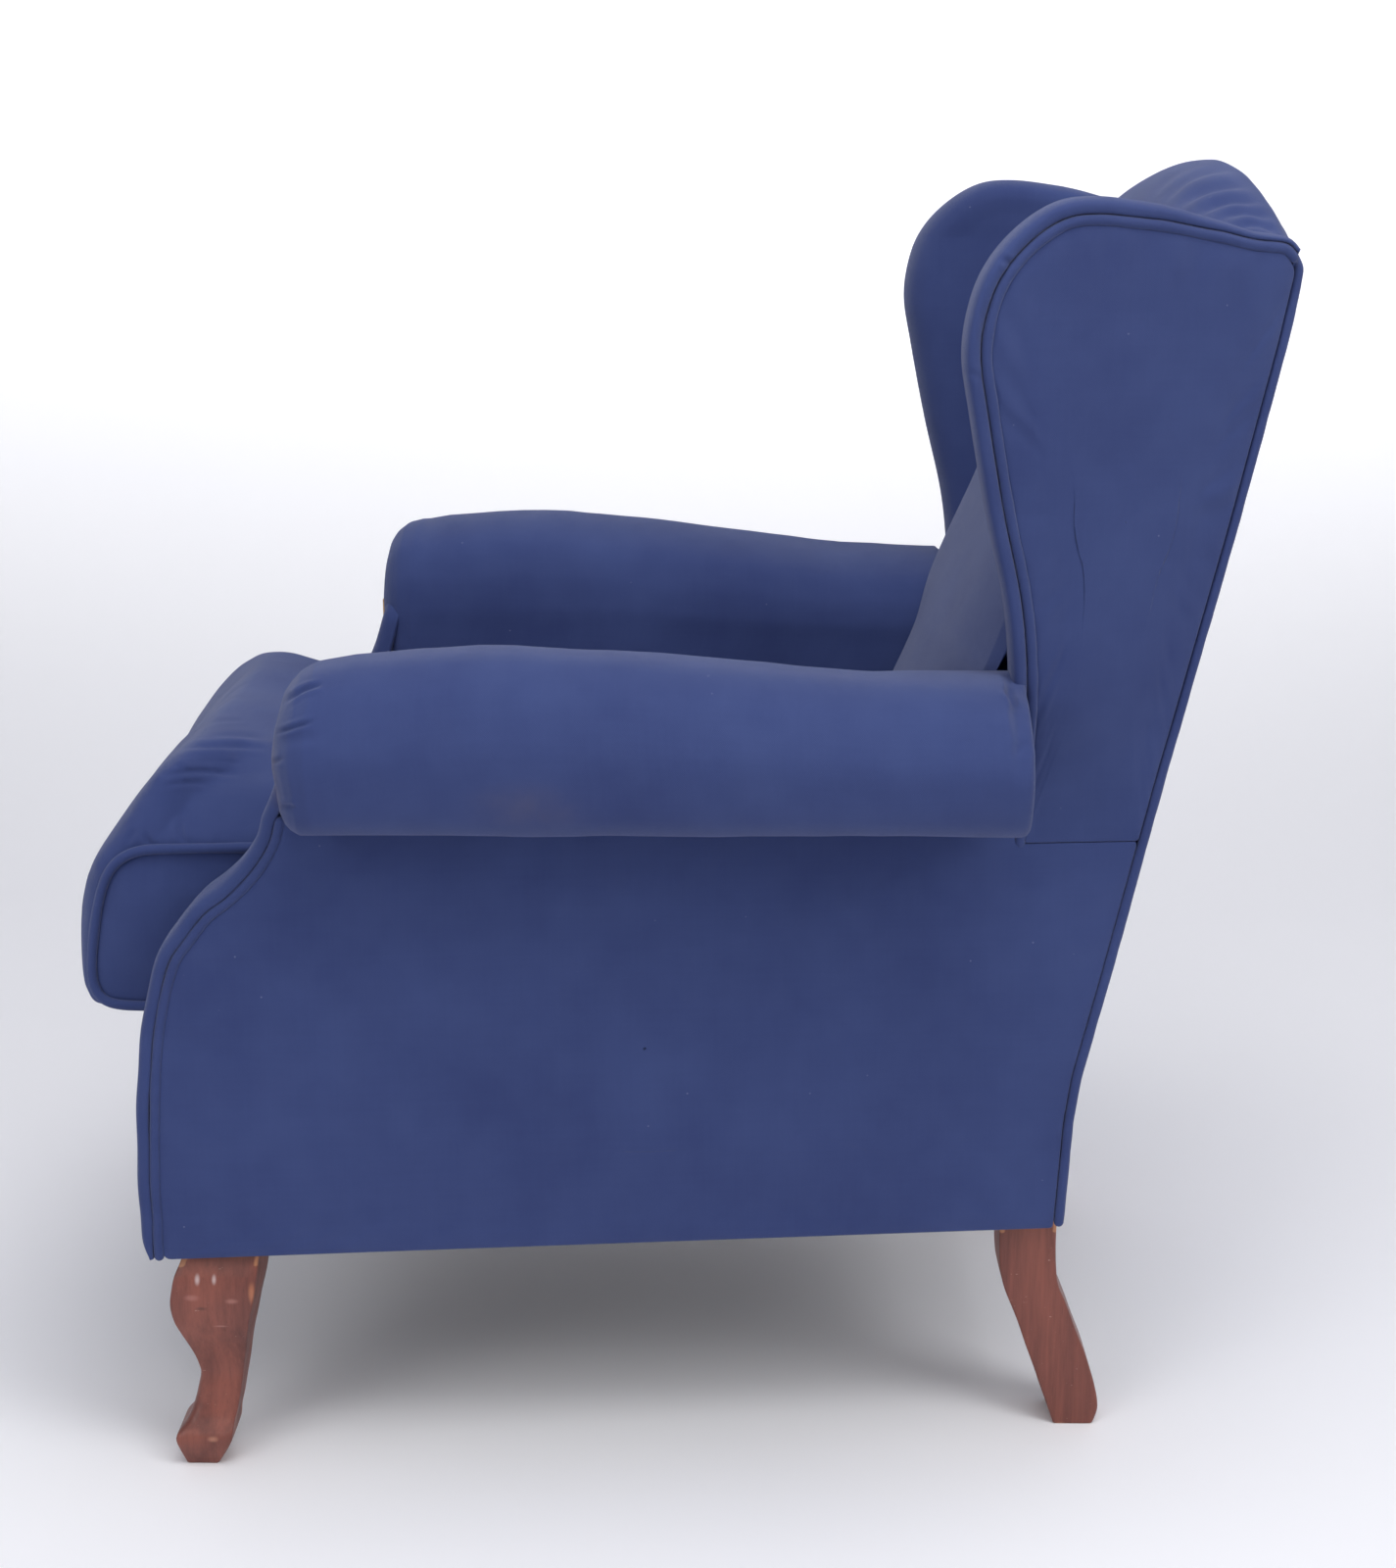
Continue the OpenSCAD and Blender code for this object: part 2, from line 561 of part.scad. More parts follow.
module arm_welt_left() arm_welt();
module arm_welt_right() mirrored() arm_welt();
module inside_arm() in_cloth() {
    low = deck_top + fit_gap;
    high = roll_low - fit_gap;
    front = [for (p = arm_post_front) if (p[1] > low && p[1] < high) p];
    side_board(concat([[lookup(low, [for (p = arm_post_front) [p[1], p[0]]]), low]], front,
                      [[front[len(front) - 1][0], high]],
                      [for (z = reversed(turns(low, high))) [back_y(z) - pad_face, z]]),
               timber_in + fit_gap, arm_in);
}
module inside_arm_left() inside_arm();
module inside_arm_right() mirrored() inside_arm();
roll_front = arm_setback - front_reach + fit_gap;
roll_l = roll_rear - roll_front;
module arm_roll_form() skin([for (s = roll_station_shares)
    let (y = roll_front + roll_l * s[0],
         ridge = mix(ridge_front_half, ridge_rear_half, s[0]),
         inner = side_in(y, arm_in),
         h = roll_h - roll_fall * lookup(s[0], roll_top_shares),
         middle_x = (inner + roll_out_half) / 2)
    [for (q = roll_section_shares)
        let (x = ridge + q[0] * (q[0] < 0 ? ridge - inner : roll_out_half - ridge), z = h * q[1])
        [mix(middle_x, x, s[1]), y, roll_low + mix(h / 2, z, s[1])]]]);
module arm_roll() in_cloth() difference() {
    front = along(arm_post_front[arm_points][0]) - fit_gap;
    arm_roll_form();
    side_plane() translate([-timber_in - fit_gap, front, roll_low - welt_d])
        cube([timber_t + 2 * fit_gap, roll_l * 2, arm_rail_rise + welt_d + fit_gap]);
}
module arm_roll_left() arm_roll();
module arm_roll_right() mirrored() arm_roll();

// Upholstery of the wings
wing_centre = [wing_lead + wing_d * 0.42, seam_h + wing_h * 0.55];
// Rings that shrink from an outline to its centre on the wing's surface, at one depth
function wing_rings(outline, shares, depth) = [for (s = shares) [for (p = outline)
    let (q = mix(wing_centre, p, s)) [wing_x(q[0], q[1]) - depth, q[0], q[1]]]];
panel_line = moved_in(wing_line, wing_seat);
panel_rear = [for (z = reversed(turns(seam_h, corner_h - rail_cap))) [back_y(z) - welt_seat, z]];
wing_panel_line = concat(panel_line, panel_rear, [
    [mix(back_y(seam_h) - welt_seat, panel_line[0][0], 0.4), seam_h],
    [mix(back_y(seam_h) - welt_seat, panel_line[0][0], 0.75), seam_h]]);
panel_ring_shares = [0.25, 0.6, 1];
module wing_panel() in_cloth() skin(concat(
    wing_rings(wing_panel_line, panel_ring_shares, 0),
    wing_rings(wing_panel_line, reversed(panel_ring_shares), skin_t)));
module wing_panel_left() wing_panel();
module wing_panel_right() mirrored() wing_panel();
// Distances in from the silhouette, as shares of the wing's thickness, and depths as shares of it
wing_nose_shares = [[0, 0.3], [0, 0.6], [0.03, 0.78], [0.11, 0.92], [0.26, 0.99]];
// The pad lies inside the bars, with its rim wrapped round them to the outside
roll_top = roll_low + roll_h - roll_fall;
pad_low = roll_top + soft_gap;
pad_first = first_above(pad_low);
plate_low = timber_in + soft_gap;
pad_centre = [wing_lead + wing_d * 0.43, post_top + 2 * soft_gap];
pad_clear = strap_face - back_seat - back_post_d + strap_t + soft_gap;
pad_corner = mix(post_top, corner_h, 0.6);
pad_rear_shares = [0.72, 0.45, 0.2, 0];
pad_rear = concat(
    [[back_y(pad_corner) - back_seat, pad_corner],
     [back_y(post_top) - back_seat, post_top + soft_gap],
     [post_face(post_top) - pad_clear, post_top + soft_gap]],
    [for (s = pad_rear_shares) let (z = mix(pad_low, post_top, s)) [post_face(z) - pad_clear, z]],
    [[moved_in(wing_line, bar_near)[pad_first][0], pad_low]]);
pad_rim = wing_points - pad_first + 1;
function pad_line(s) = let (m = moved_in(wing_line, s))
    concat([[m[pad_first][0], pad_low]], [for (i = [pad_first + 1:wing_points]) m[i]], pad_rear);
function pad_ring(s, depth, share = 1) = let (line = pad_line(s)) [for (i = [0:len(line) - 1])
    let (q = mix(pad_centre, line[i], share), d = i < pad_rim ? depth : max(depth, plate_low))
    [wing_x(q[0], q[1]) - d, q[0], q[1]]];
module wing_pad() in_cloth() skin(concat(
    [pad_ring(wing_seat, plate_low, 0.3), pad_ring(wing_seat, plate_low),
     pad_ring(wing_seat, skin_t + soft_gap), pad_ring(wing_band, skin_t + soft_gap), pad_ring(wing_band, 0),
     pad_ring(wing_band * 0.35, wing_t * 0.02), pad_ring(wing_band * 0.08, wing_t * 0.13)],
    [for (n = wing_nose_shares) pad_ring(wing_t * n[0], wing_t * n[1])],
    [pad_ring(wing_t * 0.3, wing_t, 0.75), pad_ring(wing_t * 0.3, wing_t, 0.3)]));
module wing_pad_left() wing_pad();
module wing_pad_right() mirrored() wing_pad();
wing_welt_line = moved_in(wing_line, wing_band + fit_gap + welt_r);
module wing_welt() in_cloth() {
    path = [for (p = wing_welt_line) [wing_x(p[0], p[1]) - skin_t + welt_r + fit_gap, p[0], p[1]]];
    skin(tube(path, welt_r, [1, 0, 0], welt_sides), laddered = true);
}
module wing_welt_left() wing_welt();
module wing_welt_right() mirrored() wing_welt();

// Upholstery of the back
back_stations = 7;
ledge_low = roll_top + 2 * soft_gap;
ledge_h = skin_t * 1.5;
// Half width of the inside back: between the arms up to their tops, and between the wings above
function inside_half(y, z) = mix(side_in(y, arm_in) - soft_gap, wing_x(y, z) - wing_t - 2 * soft_gap,
                                 ease((z - ledge_low) / ledge_h));
rail_face = back_seat + timber_t + soft_gap;
pad_face = strap_face + strap_t + 2 * soft_gap;
crest_half = inside_half(back_y(corner_h), corner_h);
// Shares of the back's height at which its pad is drawn, below and above the arm tops
low_level_shares = [0.28, 0.39, 0.5];
high_level_shares = [0.75, 0.84, 0.93];
function levels(shares) = [for (s = shares) body_low + back_h * s];
pad_levels = concat([deck_top + fit_gap], levels(low_level_shares), [ledge_low, ledge_low + ledge_h],
                    levels(high_level_shares));
// Shares of the crest's height: how far the top rolls back, and how far below the peak
crest_shares = [[0, 0.45], [0.19, 0.26], [0.46, 0.12], [0.73, 0.02], [0.95, 0]];
function back_section(u) = let (top = arch_z(u * crest_half), bulge = back_crown * (1 - pow(u, 4)),
    roll_y = inside_y(top - crest_rise * crest_shares[0][1]) - bulge * 0.7, lip = top - rail_cap - welt_r)
    concat([for (z = pad_levels) [inside_y(z) - bulge, z]],
        [for (c = crest_shares) [roll_y + crest_rise * c[0], top - crest_rise * c[1]]],
        [[back_y(top) - welt_d * 1.2, top - crest_rise * 0.04],
         [back_y(top) - welt_r, top - crest_rise * 0.11],
         [back_y(lip) - welt_r / 4, lip], [back_y(lip) - rail_face, lip]],
        [for (z = reversed(pad_levels)) [back_y(z) - (z > crest_rail_low ? rail_face : pad_face), z]]);
module inside_back() in_cloth()
    skin([for (i = [-back_stations:back_stations]) let (u = sin(90 * i / back_stations))
        [for (p = back_section(u)) [u * inside_half(p[0], p[1]), p[0], p[1]]]], laddered = true);
function outside_half(z) = side_x(back_y(z)) - welt_seat;
welt_drop = rail_cap + welt_r + 1.5 * soft_gap;
module outside_back() in_cloth() {
    edge = turns(body_low, corner_h - 4 * rail_cap);
    intersection() {
        back_board(body_low, crest_h, 0, welt_seat, body_rear_half);
        through(concat([for (z = edge) [outside_half(z), z]],
                       arch_line(outside_half(corner_h), welt_drop + welt_d + 2 * fit_gap),
                       [for (z = reversed(edge)) [-outside_half(z), z]]));
    }
}
// Shares of the back's height up the welt's sides
side_welt_shares = [0.005, 0.06, 0.12, 0.17, 0.22, 0.28, 0.39, 0.5, 0.62, 0.75, 0.84, 0.93, 0.96];
module back_welt() in_cloth() {
    side = [for (z = levels(side_welt_shares)) [side_x(back_y(z)) - welt_r, back_y(z) - welt_r, z]];
    top = [for (p = arch_line(arch_half - welt_r, welt_drop + welt_r)) [p[0], back_y(p[1]) - welt_r, p[1]]];
    other = [for (p = reversed(side)) [-p[0], p[1], p[2]]];
    skin(tube(concat(side, top, other), welt_r, [0, 1, 0], welt_sides), laddered = true);
}

// Underside
lining_t = 1.2;
tack_r = 4;
tack_t = 1;
module leg_tops(gap) both() {
    translate([knee_half - knee_w * 1.1 - gap, -knee_reach - gap, 0])
        cube([knee_w + 2 * gap, knee_w * 1.1 + 2 * gap, frame_low]);
    translate([rear_leg_half - rear_leg_w - gap, rear_leg_y - gap, 0])
        cube([rear_leg_w + 2 * gap, rear_leg_d + 2 * gap, frame_low]);
}
module dust_cover() in_lining() difference() {
    high = frame_low - fit_gap / 2;
    deck_board(rail_front + skin_t, rear_rail_back - skin_t, timber_in - timber_t / 2, high - lining_t, high);
    leg_tops(fit_gap * 4);
}
module dust_cover_tacks() color("dimgray") translate([0, 0, frame_low - fit_gap / 2 - lining_t - tack_t]) {
    first = knee_w * 1.35 - knee_reach;
    last = rear_leg_y - rear_leg_d;
    both() for (i = [0:8]) {
        y = mix(first, last, i / 8);
        translate([side_in(y, timber_in - timber_t / 3), y, 0]) cylinder(h = tack_t, r = tack_r);
    }
    for (i = [-3:3]) translate([i * knee_w, rail_front + skin_t * 2, 0]) cylinder(h = tack_t, r = tack_r);
    for (i = [-2:2]) translate([i * knee_w, rear_rail_back - skin_t * 2, 0]) cylinder(h = tack_t, r = tack_r);
}

// Legs
leg_steps = 26;
knee_outline = concat(spline(knee_outer_shares, leg_steps), spline(knee_inner_shares, leg_steps / 2));
module front_leg() in_mahogany() difference() {
    intersection() {
        translate([knee_half - 2 * knee_w, 0, 0]) rotate([90, 0, 90]) linear_extrude(3 * knee_w)
            polygon([for (s = knee_outline) [s[0] * knee_w - knee_reach, s[1] * frame_low]]);
        translate([0, -knee_reach + 2 * knee_w, 0]) rotate([90, 0, 0]) linear_extrude(3 * knee_w)
            polygon([for (s = knee_outline) [knee_half - s[0] * knee_w, s[1] * frame_low]]);
    }
    bolts(hole_gap);
}
module front_leg_left() front_leg();
module front_leg_right() mirrored() front_leg();
module rear_leg() in_mahogany() difference() {
    translate([rear_leg_half - rear_leg_w, 0, 0]) rotate([90, 0, 90]) linear_extrude(rear_leg_w)
        polygon([for (s = rear_leg_shares) [rear_leg_y + s[0] * rear_leg_d, s[1] * frame_low]]);
    bolts(hole_gap);
}
module rear_leg_left() rear_leg();
module rear_leg_right() mirrored() rear_leg();
module leg_bolts() color("silver") {
    bolts(0);
    both() for (p = [front_bolt, rear_bolt])
        translate([p[0], p[1], frame_low + block_h]) cylinder(h = nut_h, r = nut_w / 2, $fn = 6);
}

// Loose seat cushion
cushion_low = deck_top + fit_gap;
cushion_mid = (cushion_rear - cushion_reach) / 2;
cushion_long = (cushion_rear + cushion_reach) / 2;
cushion_points = 40;
upper_welt_z = cushion_low + boxing_h;
lower_welt_z = cushion_low + welt_d;
crown_z = upper_welt_z + cushion_crown;
cover_inset = welt_r + soft_gap;
puff = 25;
corner_share = 0.12;
function sharp(v) = sign(v) * pow(abs(v), corner_share);
// Half width of the cushion at a place, narrowing to the rear as the arms do
function cushion_half(y) = side_in(y, arm_in) - cushion_gap - welt_r;
// The cushion's outline in plan, a rounded oblong between the arms
function cushion_at(k, inset) = 
    let (a = 360 * (k + 0.5) / cushion_points, y = cushion_mid + (cushion_long - inset) * sharp(sin(a)))
    [(cushion_half(max(y, -front_reach)) - inset) * sharp(cos(a)), y];
function front_share(y) = ease((-y - cushion_reach + 3 * puff) / (3 * puff));
function upper_z(y) = upper_welt_z - welt_droop * front_share(y);
function lower_z(y) = lower_welt_z + welt_r * front_share(y);
function cushion_line(inset) = [for (k = [0:cushion_points - 1]) cushion_at(k, inset)];
function boxing_ring(share, inset) = [for (p = cushion_line(inset))
    [p[0], p[1] - front_bulge * sin(180 * share) * front_share(p[1]),
     mix(lower_z(p[1]), upper_z(p[1]), share)]];
function top_ring(share, inset) = [for (p = cushion_line(inset)) let (z = upper_z(p[1]))
    [p[0] * share, mix(cushion_mid, p[1], share),
     mix(z, crown_z, 1 - exp(-(1 - share) * cushion_long / puff)) - inset + cover_inset]];
function low_ring(share, inset) = [for (p = cushion_line(inset))
    [p[0] * share, mix(cushion_mid, p[1], share), cushion_low + inset - cover_inset]];
// Shares of the cushion's size at which its base, boxing and top are drawn
base_shares = [0.3, 0.93];
core_side_shares = [0.15, 0.5, 0.85];
core_top_shares = [0.9, 0.6, 0.25];
cover_side_shares = [0, 0.2, 0.5, 0.8, 1];
cover_top_shares = [0.985, 0.95, 0.9, 0.82, 0.66, 0.4, 0.15];
module cushion_form(inset, tops, sides) skin(concat(
    [for (s = base_shares) low_ring(s, inset)],
    [for (s = sides) boxing_ring(s, inset)],
    [for (s = tops) top_ring(s, inset)]));
module cushion_core() color("ivory")
    cushion_form(cover_inset + cover_t, core_top_shares, core_side_shares);
module cushion_cover() in_cloth() difference() {
    cushion_form(cover_inset, cover_top_shares, cover_side_shares);
    cushion_core();
}
// Numbers of the outline's points along the side panel, from its front corner to its rear corner
side_ks = [for (k = [-cushion_points / 8 : cushion_points / 8 - 1]) k];
side_last = len(side_ks) - 1;
seam_shares = [0.25, 0.5, 0.75];
function side_point(i, share) = let (p = cushion_at(side_ks[i], 0))
    [p[0], p[1] - front_bulge * sin(180 * share) * front_share(p[1]),
     mix(lower_z(p[1]), upper_z(p[1]), share)];
// Each welt runs round one side panel: along its top seam, down its rear, forward below and up its front
function cushion_welt_path() = concat(
    [for (i = [0:side_last]) side_point(i, 1)],
    [for (s = seam_shares) side_point(side_last, 1 - s)],
    [for (i = [side_last:-1:0]) side_point(i, 0)],
    [for (s = seam_shares) side_point(0, s)]);
module cushion_welt_left() in_cloth()
    skin(ring_tube(cushion_welt_path(), welt_r, [1, 0, 0], welt_sides), endless = true);
module cushion_welt_right() mirrored() cushion_welt_left();
zip_mid = cushion_low + boxing_h / 2;
zip_face = cushion_rear - cover_inset + fit_gap;
module cushion_zip() in_lining() translate([-zip_l / 2, zip_face, zip_mid - zip_w / 2])
    cube([zip_l, zip_t, zip_w]);
module zip_slider() color("silver") translate([zip_l / 2 - zip_w, zip_face + zip_t, zip_mid - zip_w / 6])
    cube([zip_w / 2, zip_t * 2, zip_w / 3]);

front_seat_rail();
rear_seat_rail();
side_seat_rail_left();
side_seat_rail_right();
seat_corner_blocks();
arm_post_left();
arm_post_right();
arm_rail_left();
arm_rail_right();
back_post_left();
back_post_right();
crest_rail();
lower_back_rail();
wing_post_left();
wing_post_right();
wing_rail_left();
wing_rail_right();
frame_dowels();
seat_webbing_lengthwise();
seat_webbing_crosswise();
back_webbing();
seat_hessian();
deck_pad();
deck_cover();
front_border();
arm_panel_left();
arm_panel_right();
arm_front_left();
arm_front_right();
arm_welt_left();
arm_welt_right();
inside_arm_left();
inside_arm_right();
arm_roll_left();
arm_roll_right();
wing_panel_left();
wing_panel_right();
wing_pad_left();
wing_pad_right();
wing_welt_left();
wing_welt_right();
inside_back();
outside_back();
back_welt();
dust_cover();
dust_cover_tacks();
front_leg_left();
front_leg_right();
rear_leg_left();
rear_leg_right();
leg_bolts();
cushion_core();
cushion_cover();
cushion_welt_left();
cushion_welt_right();
cushion_zip();
zip_slider();
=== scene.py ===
# %% [markdown]
# # Dressing an upholstered wing armchair
# The armchair stands here as a frame of solids, with one body for the chair and one for its loose
# cushion. These cells give it its cloth, padding, welts, timber and small fittings.
# Every piece is made in place, in the frame's own coordinates, so nothing is moved afterwards.

# %% Load the frame
import json
import math

import bpy
import numpy as np
from mathutils import Matrix, Vector


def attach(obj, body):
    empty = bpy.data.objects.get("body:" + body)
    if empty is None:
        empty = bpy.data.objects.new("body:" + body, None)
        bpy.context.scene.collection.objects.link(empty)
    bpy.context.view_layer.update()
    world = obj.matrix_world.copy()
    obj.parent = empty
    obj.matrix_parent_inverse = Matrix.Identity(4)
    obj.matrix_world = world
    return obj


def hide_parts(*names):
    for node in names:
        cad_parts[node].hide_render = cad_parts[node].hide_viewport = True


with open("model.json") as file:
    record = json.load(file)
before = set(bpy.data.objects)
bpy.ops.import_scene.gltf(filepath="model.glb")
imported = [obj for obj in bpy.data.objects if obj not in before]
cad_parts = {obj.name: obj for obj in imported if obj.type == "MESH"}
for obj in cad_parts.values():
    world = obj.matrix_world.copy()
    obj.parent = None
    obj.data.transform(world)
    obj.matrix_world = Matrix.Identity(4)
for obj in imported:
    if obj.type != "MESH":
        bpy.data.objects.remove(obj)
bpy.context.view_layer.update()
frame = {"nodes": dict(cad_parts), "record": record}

# %% [markdown]
# ## Measures that the pieces share
# An upholsterer works from a few templates: the side's S shaped front, the wing's outline, the lean
# of the back. They are written once, in millimetres, as the joiner would mark them, and every
# piece of cloth is cut from them. A spline through a few marks gives the smooth line.

# %% Lines and measures
MM = 0.001


def mix(a, b, t):
    """A value or a line part of the way from a to b."""
    return a + (b - a) * t


def ease(t):
    """A share from 0 to 1 that starts and ends gently."""
    t = np.clip(t, 0, 1)
    return t * t * (3 - 2 * t)


def spline(knots, steps):
    """A smooth line through the knots, with that many steps."""
    k = np.asarray(knots, float)
    last = len(k) - 1
    s = np.linspace(0, last, steps + 1)
    i = np.minimum(s.astype(int), last - 1)
    t = (s - i)[:, None]
    a, b, c, d = k[np.maximum(i - 1, 0)], k[i], k[i + 1], k[np.minimum(i + 2, last)]
    return (2 * b + (c - a) * t + (2 * a - 5 * b + 4 * c - d) * t**2 + (3 * b - a - 3 * c + d) * t**3) / 2


def lengths(line, closed=False):
    """Distance from the start to each point of a line, and back to the start where it is closed."""
    ends = np.vstack([line, line[:1]]) if closed else line
    return np.concatenate([[0], np.cumsum(np.linalg.norm(np.diff(ends, axis=0), axis=1))])


def evenly(line, count, closed=False):
    """The same line with its points at even distances."""
    line = np.asarray(line, float)
    ends = np.vstack([line, line[:1]]) if closed else line
    along = lengths(line, closed)
    places = np.linspace(0, along[-1], count + 1)[:-1] if closed else np.linspace(0, along[-1], count)
    return np.stack([np.interp(places, along, ends[:, c]) for c in range(ends.shape[1])], 1)


def tangents(line, closed=False):
    """The direction of travel at each point of a line."""
    if closed:
        t = np.roll(line, -1, 0) - np.roll(line, 1, 0)
    else:
        t = np.gradient(line, axis=0)
    return t / np.maximum(np.linalg.norm(t, axis=1, keepdims=True), 1e-9)


def moved_in(line, s, closed=False):
    """A line of (y, z) points moved to the right of its direction of travel."""
    t = tangents(line, closed)
    return line + np.asarray(s).reshape(-1, 1) * np.stack([t[:, 1], -t[:, 0]], 1)


print("a spline of 3 marks:", spline([[0, 0], [10, 4], [20, 0]], 4).round(2).tolist())

# %% The chair's templates
# Lengths are in millimetres. Shares in the outlines below run from 0 to 1 over a piece's own size.
BODY_LOW, BACK_H, SEAM_H, ROLL_LOW = 187.0, 759.0, 510.0, 541.0
DECK_TOP, COVER_LOW, FRAME_LOW, RAIL_TOP = 363.0, 361.2, 189.0, 299.0
CORNER_H, CREST_H, ARCH_FALL, ARCH_BEND = 946.0, 1020.0, 60.0, 2.2
FRONT, REAR, FRONT_HALF, SPLAY = -415.0, 316.0, 325.0, 60.0
BODY_LONG = REAR - FRONT
SPLAY_SLOPE = SPLAY / BODY_LONG
WING_FLARE, WING_T, SKIN_T, ARM_IN, TIMBER_IN = math.tan(math.radians(21)), 58.0, 8.0, 58.0, 33.0
WELT_D, WELT_R, FIT, SOFT = 8.4, 4.2, 0.3, 0.7
ARM_BAND, WING_BAND, WELT_CHANNEL = 11.0, 11.7, 3.3
WING_SEAT = WING_BAND + WELT_D + 2 * FIT
POST_TOP, BACK_SEAT, POST_D, PAD_FACE = 905.5, 9.0, 45.0, 60.4
BACK_LEAN, INSIDE_FOOT, INSIDE_LEAN = 148.0, 166.0, 200.0
ARM_FRONT_LONG, WING_FRONT, WING_LONG, WING_HIGH = 115.0, 211.0, 253.0, 488.0

REAR_EDGE = np.array([[0, 0], [.12, .035], [.17, .07], [.28, .205], [.5, .46], [.75, .765], [.93, .968],
                      [1, 1.035], [1.03, 1.01], [1.1, .94]])
INSIDE_BACK = np.array([[0, 0], [.15, .06], [.29, .16], [.46, .36], [.62, .55], [.75, .7], [.92, .9], [1, 1],
                        [1.2, 1.2]])
ARM_FRONT = np.array([[.075, 0], [.02, .014], [-.014, .045], [-.022, .1], [-.022, .2], [.02, .42], [.085, .57],
                      [.19, .69], [.31, .75], [.46, .81], [.62, .85], [.77, .9], [.88, .955], [.92, 1]])
WING = np.array([[.172, 0], [.178, .185], [.172, .3], [.146, .406], [.084, .541], [.028, .686], [0, .779],
                 [.024, .861], [.079, .918], [.17, .965], [.273, .994], [.387, 1], [.525, .992], [.607, .984],
                 [.692, .972], [.776, .96], [.859, .947], [.96, .9385], [1, .922]])
UNDER_ROLL = [[-305, 549], [-300.5, 560], [-297, 572], [-294, 584], [-291.5, 596], [-290, 606]]
arm_line = spline(ARM_FRONT * [ARM_FRONT_LONG, ROLL_LOW - BODY_LOW] + [FRONT, BODY_LOW], 120)
wing_line = spline(WING * [WING_LONG, WING_HIGH] + [WING_FRONT, SEAM_H], 200)
front_line = np.vstack([arm_line[arm_line[:, 1] < ROLL_LOW - 1], UNDER_ROLL])
ROUND_CORNER_TOP = 215.0


def front_inner(s, line=arm_line):
    """The arm front's line moved in. Inner lines run straight down past the rounded lower corner."""
    straight = line.copy()
    straight[line[:, 1] < ROUND_CORNER_TOP, 0] = line[:, 0].min()
    t = tangents(straight)
    t[line[:, 1] < ROUND_CORNER_TOP] = 0, 1
    return mix(line, straight, ease(s / 9)) + s * np.stack([t[:, 1], -t[:, 0]], 1)


NARROW_BY, NARROW_FROM, NARROW_OVER, NARROW_ABOVE = 0.62, 325.0, 135.0, 800.0


def narrowed(line, s):
    """Distances from the wing's edge, less towards the rear, where the band and its welt run out."""
    share = 1 - NARROW_BY * ease((line[:, 0] - NARROW_FROM) / NARROW_OVER) * (line[:, 1] > NARROW_ABOVE)
    return np.where(s < WING_BAND, s * share, s - WING_BAND * (1 - share))


FRONT_DROP, DROP_TOP, DROP_FADE = 5.5, 320.0, 130.0


def let_down(rings):
    """The body's lower edge hangs a little lower at the front than at the rear."""
    y, z = rings[..., 1], rings[..., 2]
    rings[..., 2] = z - FRONT_DROP * np.clip((REAR - y) / BODY_LONG, 0, 1) * ease((DROP_TOP - z) / DROP_FADE)
    return rings


def side_x(y):
    """The side cloth's distance from the middle. The sides draw together towards the rear."""
    return FRONT_HALF - (y - FRONT) * SPLAY_SLOPE


def side_in(y, depth):
    """The same for a place that deep below the side's cloth, measured square to it."""
    return side_x(y) - depth * math.sqrt(1 + SPLAY_SLOPE**2)


def back_y(z):
    """The rear edge's place at a height, along its lean."""
    return REAR + BACK_LEAN * np.interp((z - BODY_LOW) / BACK_H, *REAR_EDGE.T)


def inside_y(z):
    """The inside back's face at a height, before its crown."""
    return INSIDE_FOOT + INSIDE_LEAN * np.interp((z - DECK_TOP) / (CORNER_H - DECK_TOP), *INSIDE_BACK.T)


def wing_x(y, z):
    """Distance of the wing's outside from the chair's middle, where it flares from the back's corner."""
    slope = mix(SPLAY_SLOPE, WING_FLARE, ease((z - SEAM_H) / 130))
    return side_x(back_y(z)) + slope * (back_y(z) - y)


ARCH_HALF = float(side_x(back_y(CORNER_H)))


def arch_z(x):
    """The crest's height across the chair."""
    return CREST_H - ARCH_FALL * (np.abs(x) / ARCH_HALF) ** ARCH_BEND


def on_side(yz, depth):
    """Points of (y, z) placed on the left side, that far below its cloth."""
    return np.stack([side_in(yz[:, 0], depth), yz[:, 0], yz[:, 1]], 1)


def on_wing(yz, depth):
    """The same on the left wing's outside."""
    return np.stack([wing_x(yz[:, 0], yz[:, 1]) - depth, yz[:, 0], yz[:, 1]], 1)


print("arm front", arm_line.min(0), arm_line.max(0), "wing", wing_line.min(0), wing_line.max(0))

# %% [markdown]
# ## The camera
# The photograph was taken from the chair's left, about a metre above the floor, looking a little
# down. The picture's frame is 1425 by 1600, and a long lens keeps the sides nearly parallel.
# The camera's three axes are written out as a matrix, because the view was worked out from lines
# in the photograph and not aimed at a target.

# %% Place the camera
CAMERA_PLACE, LENS, SENSOR = (2.166, 0.0485, 1.0458), 58.5, 36
yaw, pitch = math.radians(0.8215), math.radians(14.4503)


def new_object(name, data):
    """An object in the scene for a mesh, lamp or camera."""
    obj = bpy.data.objects.new(name, data)
    bpy.context.scene.collection.objects.link(obj)
    return obj


ahead = Vector((-math.cos(yaw), -math.sin(yaw), 0))
right = Vector((-math.sin(yaw), math.cos(yaw), 0))
look = ahead * math.cos(pitch) - Vector((0, 0, math.sin(pitch)))
up = ahead * math.sin(pitch) + Vector((0, 0, math.cos(pitch)))
camera_data = bpy.data.cameras.new("camera")
camera_data.lens, camera_data.sensor_width = LENS, SENSOR
camera = new_object("camera", camera_data)
rows = [[right[k], up[k], -look[k], CAMERA_PLACE[k]] for k in range(3)]
camera.matrix_world = Matrix(rows + [[0, 0, 0, 1]])
bpy.context.scene.camera = camera
PHOTO_FOCUS, PHOTO_MIDDLE = 2600.0, (712.5, 800.0)


